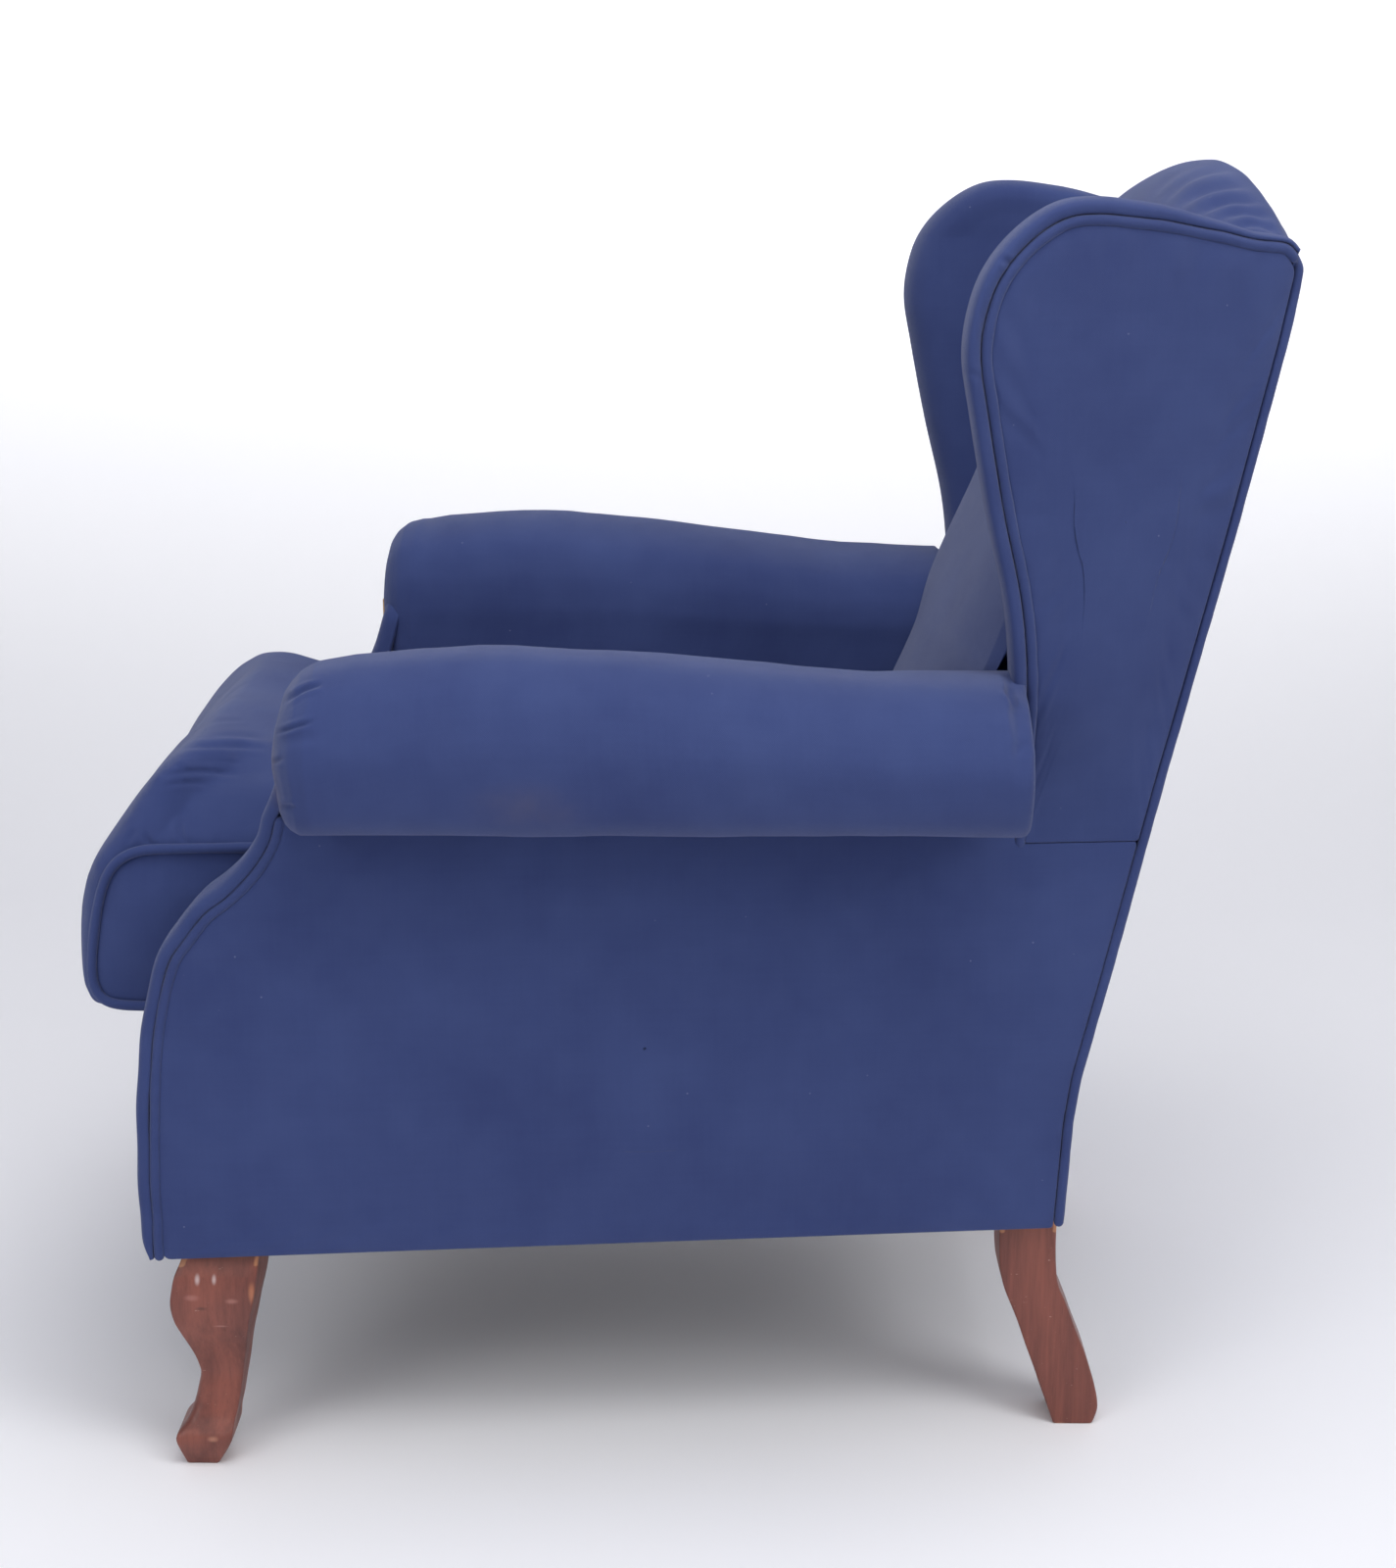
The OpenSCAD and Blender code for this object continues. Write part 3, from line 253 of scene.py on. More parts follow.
def photo_place(points):
    """Where points in millimetres fall in the photograph's frame, in its pixels."""
    p = np.asarray(points) * MM - np.array(CAMERA_PLACE)
    far = p @ np.array(look)
    return np.stack([PHOTO_MIDDLE[0] + PHOTO_FOCUS * (p @ np.array(right)) / far,
                     PHOTO_MIDDLE[1] - PHOTO_FOCUS * (p @ np.array(up)) / far], 1)


print("origin falls at", photo_place([[0, 0, 0]]).round(1).tolist())

# %% [markdown]
# ## Building closed skins
# Padding is a closed body of cloth. Each piece is drawn as a row of rings, like the hoops of a
# barrel, and a skin of four-sided faces joins each hoop with the next. Both ends are closed. Such
# a mesh has even faces that follow the cloth, so it takes wrinkles and a smoothing modifier well.
# The cloth's own threads need directions, so each skin also gets a map in metres along its hoops.


# %% Skins
def vertices_of(mesh):
    places = np.empty(len(mesh.vertices) * 3)
    mesh.vertices.foreach_get("co", places)
    return places.reshape(-1, 3)


def reshaped(obj, points):
    """Puts a mesh's points at new places, in millimetres."""
    obj.data.vertices.foreach_set("co", (points * MM).ravel())


def shade_smooth(mesh):
    mesh.polygons.foreach_set("use_smooth", [True] * len(mesh.polygons))


def ladder(n):
    """Triangles between the two halves of a ring of n points, like the rungs of a ladder."""
    faces = []
    for j in range((n - 1) // 2):
        faces.append((j, j + 1, n - 1 - j))
        if j + 1 < n - 2 - j:
            faces.append((j + 1, n - 2 - j, n - 1 - j))
    return faces


def box_map(mesh):
    """Maps cloth straight on to each face from the side, front or top that it faces most."""
    count = len(mesh.loops)
    corner = np.empty(count, np.int32)
    mesh.loops.foreach_get("vertex_index", corner)
    places = vertices_of(mesh)[corner]
    normals = np.empty(len(mesh.polygons) * 3)
    mesh.polygons.foreach_get("normal", normals)
    sizes = np.empty(len(mesh.polygons), np.int32)
    mesh.polygons.foreach_get("loop_total", sizes)
    facing = np.repeat(np.abs(normals.reshape(-1, 3)).argmax(1), sizes)
    across = np.where(facing == 0, places[:, 1], places[:, 0])
    upward = np.where(facing == 2, places[:, 1], places[:, 2])
    layer = mesh.uv_layers.get("weave") or mesh.uv_layers.new(name="weave")
    layer.data.foreach_set("uv", np.stack([across, upward], 1).ravel())


def skin(name, rings, endless=False, weave="grid"):
    """A closed skin over rings of points in millimetres, each with as many points as the next."""
    rings = np.asarray(rings, float) * MM
    m, n = rings.shape[:2]
    verts = rings.reshape(-1, 3)
    spans = m if endless else m - 1
    i, j = np.meshgrid(np.arange(spans), np.arange(n), indexing="ij")
    k, q = (i + 1) % m, (j + 1) % n
    quads = np.stack([i * n + j, k * n + j, k * n + q, i * n + q], -1).reshape(-1, 4)
    faces = quads.tolist()
    far = (m - 1) * n
    if not endless:
        for f in ladder(n):
            faces += [f, (far + f[2], far + f[1], far + f[0])]
    centre = verts.mean(0)
    tri = np.vstack([quads[:, [0, 1, 2]], quads[:, [0, 2, 3]]])
    a, b, c = (verts[tri[:, x]] - centre for x in range(3))
    if (a * np.cross(b, c)).sum() < 0:
        faces = [tuple(f)[::-1] for f in faces]
    mesh = bpy.data.meshes.new(name)
    mesh.from_pydata(verts.tolist(), [], faces)
    mesh.update()
    if weave == "grid":
        round_it = np.stack([lengths(r, True) for r in rings])
        down_it = np.vstack([np.zeros(n + 1), np.cumsum(np.linalg.norm(
            np.diff(np.concatenate([rings, rings[:, :1]], 1), axis=0), axis=2), axis=0)])
        if endless:
            down_it = np.vstack([down_it, down_it[-1:] + MM])
            round_it = np.vstack([round_it, round_it[:1]])
        layer = mesh.uv_layers.new(name="weave")
        uv = np.zeros((len(mesh.loops), 2))
        at = 0
        flipped = faces[0] != quads[0].tolist()
        for row in range(len(quads)):
            i0, j0 = divmod(row, n)
            corners = [(i0, j0), (i0 + 1, j0), (i0 + 1, j0 + 1), (i0, j0 + 1)]
            for c in (corners[::-1] if flipped else corners):
                uv[at] = round_it[c], down_it[c]
                at += 1
        layer.data.foreach_set("uv", uv.ravel())
    else:
        box_map(mesh)
    shade_smooth(mesh)
    return new_object(name, mesh)


def mirrored(obj, name):
    """The same piece for the chair's other side, with its faces turned outwards again."""
    mesh = obj.data.copy()
    mesh.name = name
    mesh.vertices.foreach_set("co", (vertices_of(mesh) * [-1, 1, 1]).ravel())
    mesh.flip_normals()
    return new_object(name, mesh)


def waves(points, pitch, seed, count=9):
    """Soft unevenness over the points, about -1 to 1, with hills that far apart."""
    draw = np.random.default_rng(seed)
    way = draw.normal(size=(count, 3))
    way /= np.linalg.norm(way, axis=1, keepdims=True)
    way *= 2 * np.pi / pitch * draw.uniform(0.6, 1.5, (count, 1))
    return np.sin(points @ way.T + draw.uniform(0, 2 * np.pi, count)).sum(1) / math.sqrt(count)


def smoothed(obj):
    fine = obj.modifiers.new("smooth cloth", "SUBSURF")
    fine.levels = fine.render_levels = 1
    fine.use_limit_surface = False
    return obj


def dressed(obj, finish, body, nodes):
    """Gives a finished piece its material and its place in the frame."""
    obj.data.materials.clear()
    obj.data.materials.append(finish)
    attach(obj, body)
    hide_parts(*nodes)
    print(obj.name, len(obj.data.polygons), "faces")
    return obj


# %% [markdown]
# ## Shader parts that several materials use
# The blue cloth, the lining and the jute are all plain weaves of different pitch, and both timbers
# show grain. Each such effect is built once, as a node group with named inputs, and every material
# sets its own values. Only colours, masks and heights come out of a group; the shader itself stays
# in the material.


# %% Node helpers
def node(tree, kind, inputs=None, **settings):
    n = tree.nodes.new(kind)
    for key, value in settings.items():
        setattr(n, key, value)
    for key, value in (inputs or {}).items():
        if isinstance(value, bpy.types.NodeSocket):
            tree.links.new(value, n.inputs[key])
        else:
            n.inputs[key].default_value = value
    return n


def maths(tree, operation, *values):
    return node(tree, "ShaderNodeMath", dict(enumerate(values)), operation=operation).outputs[0]


def blend_colour(tree, factor, a, b, how="MIX"):
    n = node(tree, "ShaderNodeMix", data_type="RGBA", blend_type=how)
    for key, value in ((0, factor), (6, a), (7, b)):
        if isinstance(value, bpy.types.NodeSocket):
            tree.links.new(value, n.inputs[key])
        else:
            n.inputs[key].default_value = value
    return n.outputs[2]


def stepped(tree, value, low, high, to_low=0.0, to_high=1.0):
    """A soft step: to_low where the value is under low, to_high where it is over high."""
    return node(tree, "ShaderNodeMapRange", {0: value, 1: low, 2: high, 3: to_low, 4: to_high},
                interpolation_type="SMOOTHSTEP").outputs[0]


def group(name, inputs, outputs):
    tree = bpy.data.node_groups.new(name, "ShaderNodeTree")
    kinds = {"v": "NodeSocketVector", "f": "NodeSocketFloat", "c": "NodeSocketColor"}
    for label, kind, value in inputs:
        s = tree.interface.new_socket(name=label, in_out="INPUT", socket_type=kinds[kind])
        if value is not None:
            s.default_value = value
    for label, kind in outputs:
        tree.interface.new_socket(name=label, in_out="OUTPUT", socket_type=kinds[kind])
    return tree, tree.nodes.new("NodeGroupInput").outputs, tree.nodes.new("NodeGroupOutput").inputs


# %% A plain weave
def make_weave():
    """Threads over and under each other, with thick and thin places along both."""
    tree, given, out = group("plain weave", [
        ("Cloth", "v", None), ("Threads per metre", "f", 1500), ("Slub", "f", 0.5)],
        [("Height", "f"), ("Thread tint", "f")])
    places = node(tree, "ShaderNodeVectorMath", {0: given["Cloth"], 3: given["Threads per metre"]},
                  operation="SCALE").outputs[0]
    parts = node(tree, "ShaderNodeSeparateXYZ", {0: places}).outputs
    waved = [maths(tree, "SINE", maths(tree, "MULTIPLY", p, math.pi)) for p in (parts[0], parts[1])]
    warp, weft = (maths(tree, "ABSOLUTE", w) for w in waved)
    over = maths(tree, "GREATER_THAN", maths(tree, "MULTIPLY", *waved), 0.0)
    thread = node(tree, "ShaderNodeMix", {0: over, 2: warp, 3: weft}, data_type="FLOAT").outputs[0]
    streaks = []
    for stretch in ((0.9, 0.035, 1), (0.03, 0.8, 1)):
        drawn = node(tree, "ShaderNodeMapping", {0: places, 3: stretch}).outputs[0]
        streaks.append(node(tree, "ShaderNodeTexNoise", {
            "Vector": drawn, "Scale": 0.22, "Detail": 3.0, "Roughness": 0.65}).outputs[0])
    uneven = maths(tree, "SUBTRACT", maths(tree, "ADD", *streaks), 1.0)
    slub = maths(tree, "MULTIPLY", uneven, given["Slub"])
    tree.links.new(maths(tree, "ADD", thread, slub), out["Height"])
    tree.links.new(maths(tree, "ADD", slub, 0.5), out["Thread tint"])
    return tree


def make_mottle():
    """Cloudy wear: broad fading, small patches and specks of lint."""
    tree, given, out = group("fading and lint", [("Place", "v", None), ("Cloud size", "f", 0.12)],
                             [("Fading", "f"), ("Patches", "f"), ("Lint", "f")])
    size = maths(tree, "DIVIDE", 1.0, given["Cloud size"])
    for label, times, detail in (("Fading", 1.0, 2.0), ("Patches", 4.5, 4.0)):
        n = node(tree, "ShaderNodeTexNoise", {
            "Vector": given["Place"], "Scale": maths(tree, "MULTIPLY", size, times), "Detail": detail})
        tree.links.new(n.outputs[0], out[label])
    specks = node(tree, "ShaderNodeTexVoronoi", {"Vector": given["Place"], "Scale": 34.0}, feature="F1")
    tree.links.new(stepped(tree, specks.outputs["Distance"], 0.018, 0.03, 1.0, 0.0), out["Lint"])
    return tree


def make_grain():
    """Long fibres, darker bands between them and open pores, along the first axis given."""
    tree, given, out = group("wood grain", [
        ("Place", "v", None), ("Stretch", "v", (1, 1, 0.08)), ("Fineness", "f", 60.0)],
        [("Band", "f"), ("Fibre", "f"), ("Pore", "f")])
    drawn = node(tree, "ShaderNodeVectorMath", {0: given["Place"], 1: given["Stretch"]},
                 operation="MULTIPLY").outputs[0]
    band = node(tree, "ShaderNodeTexNoise", {"Vector": drawn, "Scale": given["Fineness"], "Detail": 3.0,
                                             "Distortion": 0.6})
    fibre = node(tree, "ShaderNodeTexNoise", {
        "Vector": drawn, "Scale": maths(tree, "MULTIPLY", given["Fineness"], 7.0), "Detail": 5.0,
        "Roughness": 0.7})
    pore = node(tree, "ShaderNodeTexVoronoi", {
        "Vector": drawn, "Scale": maths(tree, "MULTIPLY", given["Fineness"], 10.0)}, feature="F1")
    tree.links.new(band.outputs[0], out["Band"])
    tree.links.new(fibre.outputs[0], out["Fibre"])
    tree.links.new(stepped(tree, pore.outputs["Distance"], 0.08, 0.22, 1.0, 0.0), out["Pore"])
    return tree


weave_group, mottle_group, grain_group = make_weave(), make_mottle(), make_grain()
print("node groups:", [g.name for g in (weave_group, mottle_group, grain_group)])


# %% [markdown]
# ## The blue cloth
# It is a fine woven wool blend: deep blue, a little faded where hands and heads rest, with a pale
# sheen where it is seen at a low angle. The weave comes from the cloth's own map, so it follows
# the piece, and the fading from its place on the chair. Sheen is set on the shader, because it
# belongs to the fibre and doesn't vary.


# %% Blue cloth
def linear(colour):
    """A colour as seen on a screen, 0 to 255, in the shader's own scale."""
    c = np.array(colour) / 255
    return [*np.where(c <= 0.04045, c / 12.92, ((c + 0.055) / 1.055) ** 2.4), 1.0]


def placed(tree, name, values):
    return node(tree, "ShaderNodeGroup", values, node_tree=name).outputs


def new_material(name):
    m = bpy.data.materials.new(name)
    m.use_nodes = True
    shader = m.node_tree.nodes["Principled BSDF"]
    return m, m.node_tree, shader


def spot(tree, place, centre, reach):
    """A soft mask round a place on the chair, in metres."""
    moved = node(tree, "ShaderNodeMapping", {0: place, 1: tuple(-c / r for c, r in zip(centre, reach)),
                                             3: tuple(1 / r for r in reach)}).outputs[0]
    far = node(tree, "ShaderNodeVectorMath", {0: moved}, operation="LENGTH").outputs["Value"]
    return stepped(tree, far, 0.15, 1.0, 1.0, 0.0)


LINT, CLOTH_ROUGH = (150, 156, 178), 0.88


def woven_material(name, deep, pale, threads, slub, sheen, bump=0.00022, stains=()):
    """A cloth between two colours: threads per metre, unevenness of the yarn, and stains by place."""
    material, tree, shader = new_material(name)
    cloth = node(tree, "ShaderNodeUVMap", uv_map="weave").outputs[0]
    place = node(tree, "ShaderNodeTexCoord").outputs["Object"]
    weave = placed(tree, weave_group, {"Cloth": cloth, "Threads per metre": threads, "Slub": slub})
    worn = placed(tree, mottle_group, {"Place": place})
    tint = maths(tree, "ADD", maths(tree, "MULTIPLY", weave["Thread tint"], 0.7),
                 maths(tree, "ADD", maths(tree, "MULTIPLY", worn["Fading"], 0.42),
                       maths(tree, "MULTIPLY", worn["Patches"], 0.16)))
    colour = blend_colour(tree, stepped(tree, tint, 0.25, 1.05), linear(deep), linear(pale))
    for centre, reach, soil, strength in stains:
        mask = maths(tree, "MULTIPLY", spot(tree, place, centre, reach),
                     stepped(tree, worn["Patches"], 0.3, 0.7, 0.35 * strength, strength))
        colour = blend_colour(tree, mask, colour, linear(soil))
    colour = blend_colour(tree, maths(tree, "MULTIPLY", worn["Lint"], 0.35), colour, linear(LINT))
    raised = node(tree, "ShaderNodeBump", {"Strength": 0.55, "Distance": bump, "Height": weave["Height"]})
    soft = node(tree, "ShaderNodeBump", {"Strength": 0.35, "Distance": 0.0012, "Height": worn["Patches"],
                                         "Normal": raised.outputs[0]})
    tree.links.new(colour, shader.inputs["Base Color"])
    tree.links.new(stepped(tree, worn["Patches"], 0.2, 0.8, CLOTH_ROUGH + 0.04, CLOTH_ROUGH - 0.04),
                   shader.inputs["Roughness"])
    tree.links.new(soft.outputs[0], shader.inputs["Normal"])
    shader.inputs["Sheen Weight"].default_value = sheen
    shader.inputs["Sheen Roughness"].default_value = 0.42
    shader.inputs["Sheen Tint"].default_value = (0.85, 0.88, 1.0, 1.0)
    shader.inputs["Specular IOR Level"].default_value = 0.25
    return material


BLUE_DEEP, BLUE_PALE = (43, 55, 103), (64, 79, 129)
# Each stain on the near arm: its place and reach in metres, its colour and strength.
STAINS = [((0.335, -0.29, 0.585), (0.06, 0.02, 0.05), (112, 98, 96), 0.7),
          ((0.36, -0.10, 0.57), (0.05, 0.07, 0.03), (92, 86, 100), 0.45)]
blue_cloth = woven_material("blue woven cloth", BLUE_DEEP, BLUE_PALE, 1500, 0.12, 0.22, stains=STAINS)
lining_cloth = woven_material("black lining", (18, 18, 21), (34, 34, 38), 1200, 0.4, 0.1)
jute_webbing = woven_material("jute webbing", (120, 92, 58), (178, 146, 98), 420, 0.8, 0.1, bump=0.0006)
hessian_cloth = woven_material("hessian", (112, 90, 58), (168, 142, 98), 480, 1.0, 0.1, bump=0.0006)
print("cloth materials:", blue_cloth.name, lining_cloth.name, jute_webbing.name, hessian_cloth.name)


# %% [markdown]
# ## Wood, foam and steel
# The legs are a pale hardwood under a red-brown mahogany stain, worn to orange at their edges and
# chipped to pale wood in places. The inner frame is raw sawn beech. Both use the grain group along
# the length of their timber. Foam is a mass of small open cells, with painted shade in their hollows,
# and the bolts are zinc plated.


# %% Hard materials
def timber_material(name, deep, pale, stretch, fineness, rough, worn=None):
    material, tree, shader = new_material(name)
    place = node(tree, "ShaderNodeTexCoord").outputs["Object"]
    grain = placed(tree, grain_group, {"Place": place, "Stretch": stretch, "Fineness": fineness})
    tint = maths(tree, "ADD", maths(tree, "MULTIPLY", grain["Band"], 0.75),
                 maths(tree, "MULTIPLY", grain["Fibre"], 0.35))
    colour = blend_colour(tree, stepped(tree, tint, 0.3, 0.8), linear(deep), linear(pale))
    colour = blend_colour(tree, maths(tree, "MULTIPLY", grain["Pore"], 0.25), colour,
                          linear([c * 0.55 for c in deep]))
    if worn:
        rubbed = node(tree, "ShaderNodeAttribute", attribute_name="worn").outputs["Fac"]
        patchy = node(tree, "ShaderNodeTexNoise", {"Vector": place, "Scale": 60.0, "Detail": 5.0}).outputs[0]
        bare = stepped(tree, maths(tree, "ADD", rubbed, maths(tree, "MULTIPLY", patchy, 0.9)), 1.12, 1.36)
        colour = blend_colour(tree, maths(tree, "MULTIPLY", bare, 0.7), colour, linear(worn))
        for centre, reach, shade, strength in CHIPS:
            mask = maths(tree, "MULTIPLY", spot(tree, place, centre, reach), strength)
            colour = blend_colour(tree, mask, colour, linear(shade))
        drawn = node(tree, "ShaderNodeMapping", {0: place, 2: (0.5, 0.9, 0.3), 3: (40, 160, 700)}).outputs[0]
        lines = node(tree, "ShaderNodeTexNoise", {"Vector": drawn, "Scale": 1.0, "Detail": 2.0}).outputs[0]
        thin = stepped(tree, lines, 0.735, 0.76, 0.0, 0.55)
        colour = blend_colour(tree, thin, colour, linear(SCRATCH))
    tree.links.new(colour, shader.inputs["Base Color"])
    tree.links.new(stepped(tree, grain["Fibre"], 0.2, 0.8, rough + 0.06, rough - 0.06),
                   shader.inputs["Roughness"])
    bump = node(tree, "ShaderNodeBump", {"Strength": 0.3, "Distance": 0.0003, "Height": grain["Fibre"]})
    tree.links.new(bump.outputs[0], shader.inputs["Normal"])
    return material


# Each chip or stain on the left front leg: its place and reach in metres, its colour and strength.
CHIPS = [((0.319, -0.3746, 0.163), (0.008, 0.0030, 0.0065), (206, 186, 184), 0.75),
         ((0.319, -0.3613, 0.163), (0.008, 0.0026, 0.0058), (206, 186, 184), 0.7),
         ((0.319, -0.3792, 0.148), (0.008, 0.0080, 0.0035), (172, 116, 108), 0.5),
         ((0.319, -0.3474, 0.1455), (0.008, 0.0070, 0.0030), (176, 122, 112), 0.5),
         ((0.319, -0.3718, 0.139), (0.008, 0.0060, 0.0022), (70, 38, 36), 0.6),
         ((0.319, -0.3578, 0.1225), (0.008, 0.0080, 0.0014), (176, 126, 118), 0.5),
         ((0.319, -0.3315, 0.152), (0.008, 0.0038, 0.0120), (186, 118, 84), 0.65),
         ((0.319, -0.3679, 0.025), (0.012, 0.0060, 0.0034), (188, 132, 108), 0.6),
         ((0.319, -0.3420, 0.180), (0.012, 0.0300, 0.0050), (178, 112, 70), 0.6),
         ((0.319, -0.3660, 0.182), (0.012, 0.0200, 0.0040), (150, 90, 62), 0.5)]
SCRATCH = (196, 160, 148)
mahogany = timber_material("stained mahogany", (92, 48, 42), (140, 78, 64), (1, 1, 0.07), 45, 0.42,
                           worn=(190, 132, 92))
beech = timber_material("raw beech", (176, 136, 92), (214, 178, 132), (1, 0.1, 1), 40, 0.75)


def make_foam():
    material, tree, shader = new_material("open cell foam")
    place = node(tree, "ShaderNodeTexCoord").outputs["Object"]
    cells = node(tree, "ShaderNodeTexVoronoi", {"Vector": place, "Scale": 900.0}).outputs["Distance"]
    cloud = node(tree, "ShaderNodeTexNoise", {"Vector": place, "Scale": 12.0, "Detail": 4.0}).outputs[0]
    colour = blend_colour(tree, cloud, linear((226, 214, 176)), linear((244, 236, 206)))
    # The cells' hollows are painted darker: painted shade inside the open cells.
    painted_cell_shade = stepped(tree, cells, 0.1, 0.6, 0.35, 0.0)
    tree.links.new(blend_colour(tree, painted_cell_shade, colour, linear((170, 158, 120))), shader.inputs["Base Color"])
    bump = node(tree, "ShaderNodeBump", {"Strength": 0.6, "Distance": 0.0004, "Height": cells})
    tree.links.new(bump.outputs[0], shader.inputs["Normal"])
    shader.inputs["Roughness"].default_value = 0.95
    return material


def make_zinc():
    material, tree, shader = new_material("zinc plated steel")
    place = node(tree, "ShaderNodeTexCoord").outputs["Object"]
    spangle = node(tree, "ShaderNodeTexVoronoi", {"Vector": place, "Scale": 420.0}).outputs["Color"]
    grey = node(tree, "ShaderNodeRGBToBW", {0: spangle}).outputs[0]
    tree.links.new(blend_colour(tree, grey, linear((150, 152, 156)), linear((190, 192, 196))),
                   shader.inputs["Base Color"])
    tree.links.new(stepped(tree, grey, 0.0, 1.0, 0.3, 0.48), shader.inputs["Roughness"])
    shader.inputs["Metallic"].default_value = 1.0
    return material


foam, zinc = make_foam(), make_zinc()
print("hard materials:", mahogany.name, beech.name, foam.name, zinc.name)


# %% [markdown]
# ## Outside panels
# The outside arm is cloth drawn flat over a thin pad and tacked along its edges. It lies a little
# below the welt, and its edge rolls under. Rings run from the middle of its hidden face, round the
# edge, to the middle of its show face. Small puckers die away from the edge, where the cloth is
# pulled against its tacks.


# %% Panels
def inset(outline, distance):
    """A closed outline moved inwards."""
    y, z = outline.T
    area = (y * np.roll(z, -1) - z * np.roll(y, -1)).sum()
    return moved_in(outline, -distance if area > 0 else distance, True)


def nearer(outline, centre, distance):
    """An outline drawn in towards its centre by about that distance from its edge."""
    t = tangents(outline, True)
    way = centre - outline
    far = np.linalg.norm(way, axis=1, keepdims=True)
    way /= far
    across = np.abs(way[:, :1] * t[:, 1:] - way[:, 1:] * t[:, :1])
    return outline + way * np.minimum(distance / np.maximum(across, 0.6), far * 0.5)


PANEL_DIP, SEAM_DIP, PANEL_EDGE = 1.6, 0.9, 1.5


def panel_rings(outline, centre, place, thick, crown, pucker, seed, dip=PANEL_DIP, edge=PANEL_EDGE):
    """Rings round a padded panel, from its hidden middle over its edge to its shown middle."""
    along = lengths(outline, True)[:-1]
    wave = waves(np.stack([along, 0 * along, 0 * along], 1), 34, seed, 14)
    rows = [(mix(centre, outline, s), thick, 0) for s in (0.02, 0.5, 0.96)]
    rows += [(outline, thick, 0), (outline, edge + dip, 0)]
    for turn in np.radians([30, 60, 90]):
        line = nearer(outline, centre, edge * (1 - math.cos(turn)))
        rows.append((line, dip + edge * (1 - math.sin(turn)), 0))
    for far in (3.0, 5.0, 8.0, 12.0, 17.0, 25.0):
        fall = dip * math.exp((edge - far) / 6) - pucker * wave * far / 12 * math.exp(1 - far / 12)
        rows.append((nearer(outline, centre, far), fall, ease(far / 25)))
    last = nearer(outline, centre, 25.0)
    way = last - centre
    reach = np.linalg.norm(way, axis=1)
    angle = np.unwrap(np.arctan2(way[:, 1], way[:, 0]))
    steps = np.linspace(0, 2 * np.pi, len(angle), endpoint=False)
    even = angle[0] + np.sign(angle[-1] - angle[0]) * steps
    for s in (0.94, 0.87, 0.79, 0.7, 0.61, 0.52, 0.43, 0.34, 0.25, 0.16, 0.08, 0.03, 0.01, 0.003):
        keep = ease((s - 0.2) / 0.45)
        turned, far = mix(even, angle, keep), s * mix(reach.mean(), reach, keep)
        line = centre + far[:, None] * np.stack([np.cos(turned), np.sin(turned)], 1)
        fade = pucker * wave * 2 * math.exp(-2 - (1 - s) * 9) * (s > 0.5)
        rows.append((line, -crown * (1 - s**3) - fade, ease((s - 0.02) / 0.4)))
    rings = np.array([place(line, depth) for line, depth, _ in rows])
    ripple = (waves(rings.reshape(-1, 3), 150, seed + 1) * 0.5).reshape(rings.shape[:2])
    rings[:, :, 0] += ripple * np.array([share for _, _, share in rows])[:, None]
    return rings


def seam_dips(outline):
    """How far a panel's edge dips at each point: less along the seam across the side."""
    return mix(PANEL_DIP, SEAM_DIP, ease((20 - np.abs(outline[:, 1] - 525)) / 5))


def both_sides(left, stem):
    """Dresses a left piece in blue cloth, and its mirror image for the right."""
    right = mirrored(left, left.name.replace("_left", "_right"))
    for piece, side in ((left, "left"), (right, "right")):
        dressed(smoothed(piece), blue_cloth, "chair", [stem + side])


PANEL_TUCK, PANEL_REAR, PANEL_CENTRE = 9.0, 266.5, np.array([-20.0, 350.0])


def arm_panel_outline():
    """The outside arm's cut, tucked up behind the roll and ending at the seam below the wing."""
    front = front_inner(ARM_BAND + WELT_R + WELT_CHANNEL)
    front = front[(front[:, 1] > BODY_LOW + 1) & (front[:, 1] < ROLL_LOW - FIT)]
    rear_z = np.linspace(SEAM_H - FIT, BODY_LOW, 60)
    rear = np.stack([back_y(rear_z) - WELT_D - FIT, rear_z], 1)
    whole = np.vstack([[[front[0, 0] + 3, BODY_LOW]], front, [[front[-1, 0] + 3, ROLL_LOW + PANEL_TUCK]],
                       [[PANEL_REAR, ROLL_LOW + PANEL_TUCK], [PANEL_REAR, SEAM_H - FIT]], rear])
    return evenly(whole, 380, True)


outline = arm_panel_outline()
arm_rings = panel_rings(outline, PANEL_CENTRE, on_side, SKIN_T, 1.2, 0.35, 5, seam_dips(outline))
both_sides(skin("arm_panel_cloth_left", let_down(arm_rings), weave="box"), "arm_panel_")


# %% Outside wing panels
WING_PANEL_REAR = 458.0


def wing_panel_outline():
    """The outside wing's cut, inside its welt and down to the seam over the arm."""
    line = moved_in(wing_line, narrowed(wing_line, WING_BAND + WELT_R + WELT_CHANNEL))
    line = line[(line[:, 1] > SEAM_H) & (line[:, 0] < WING_PANEL_REAR)]
    rear_z = np.linspace(CORNER_H - 3, SEAM_H, 60)
    rear = np.stack([back_y(rear_z) - WELT_D - FIT, rear_z], 1)
    return evenly(np.vstack([[[line[0, 0], SEAM_H]], line, rear]), 340, True)


outline = wing_panel_outline()
WING_CENTRE = np.array([WING_FRONT + WING_LONG * 0.5, SEAM_H + WING_HIGH * 0.52])
wing_rings = panel_rings(outline, WING_CENTRE, on_wing, SKIN_T, 2.0, 0.6, 11, seam_dips(outline))
both_sides(skin("wing_panel_cloth_left", wing_rings, weave="box"), "wing_panel_")


# %% [markdown]
# ## Welts
# A welt is a cord inside a folded strip of the same cloth, sewn into the seam. It is swept as a
# tube along the seam with closed, rounded ends. Its cloth is cut on the bias and pulled round
# bends, so its thickness wavers a little along its length.


# %% Welts
WELT_SIDES = 14


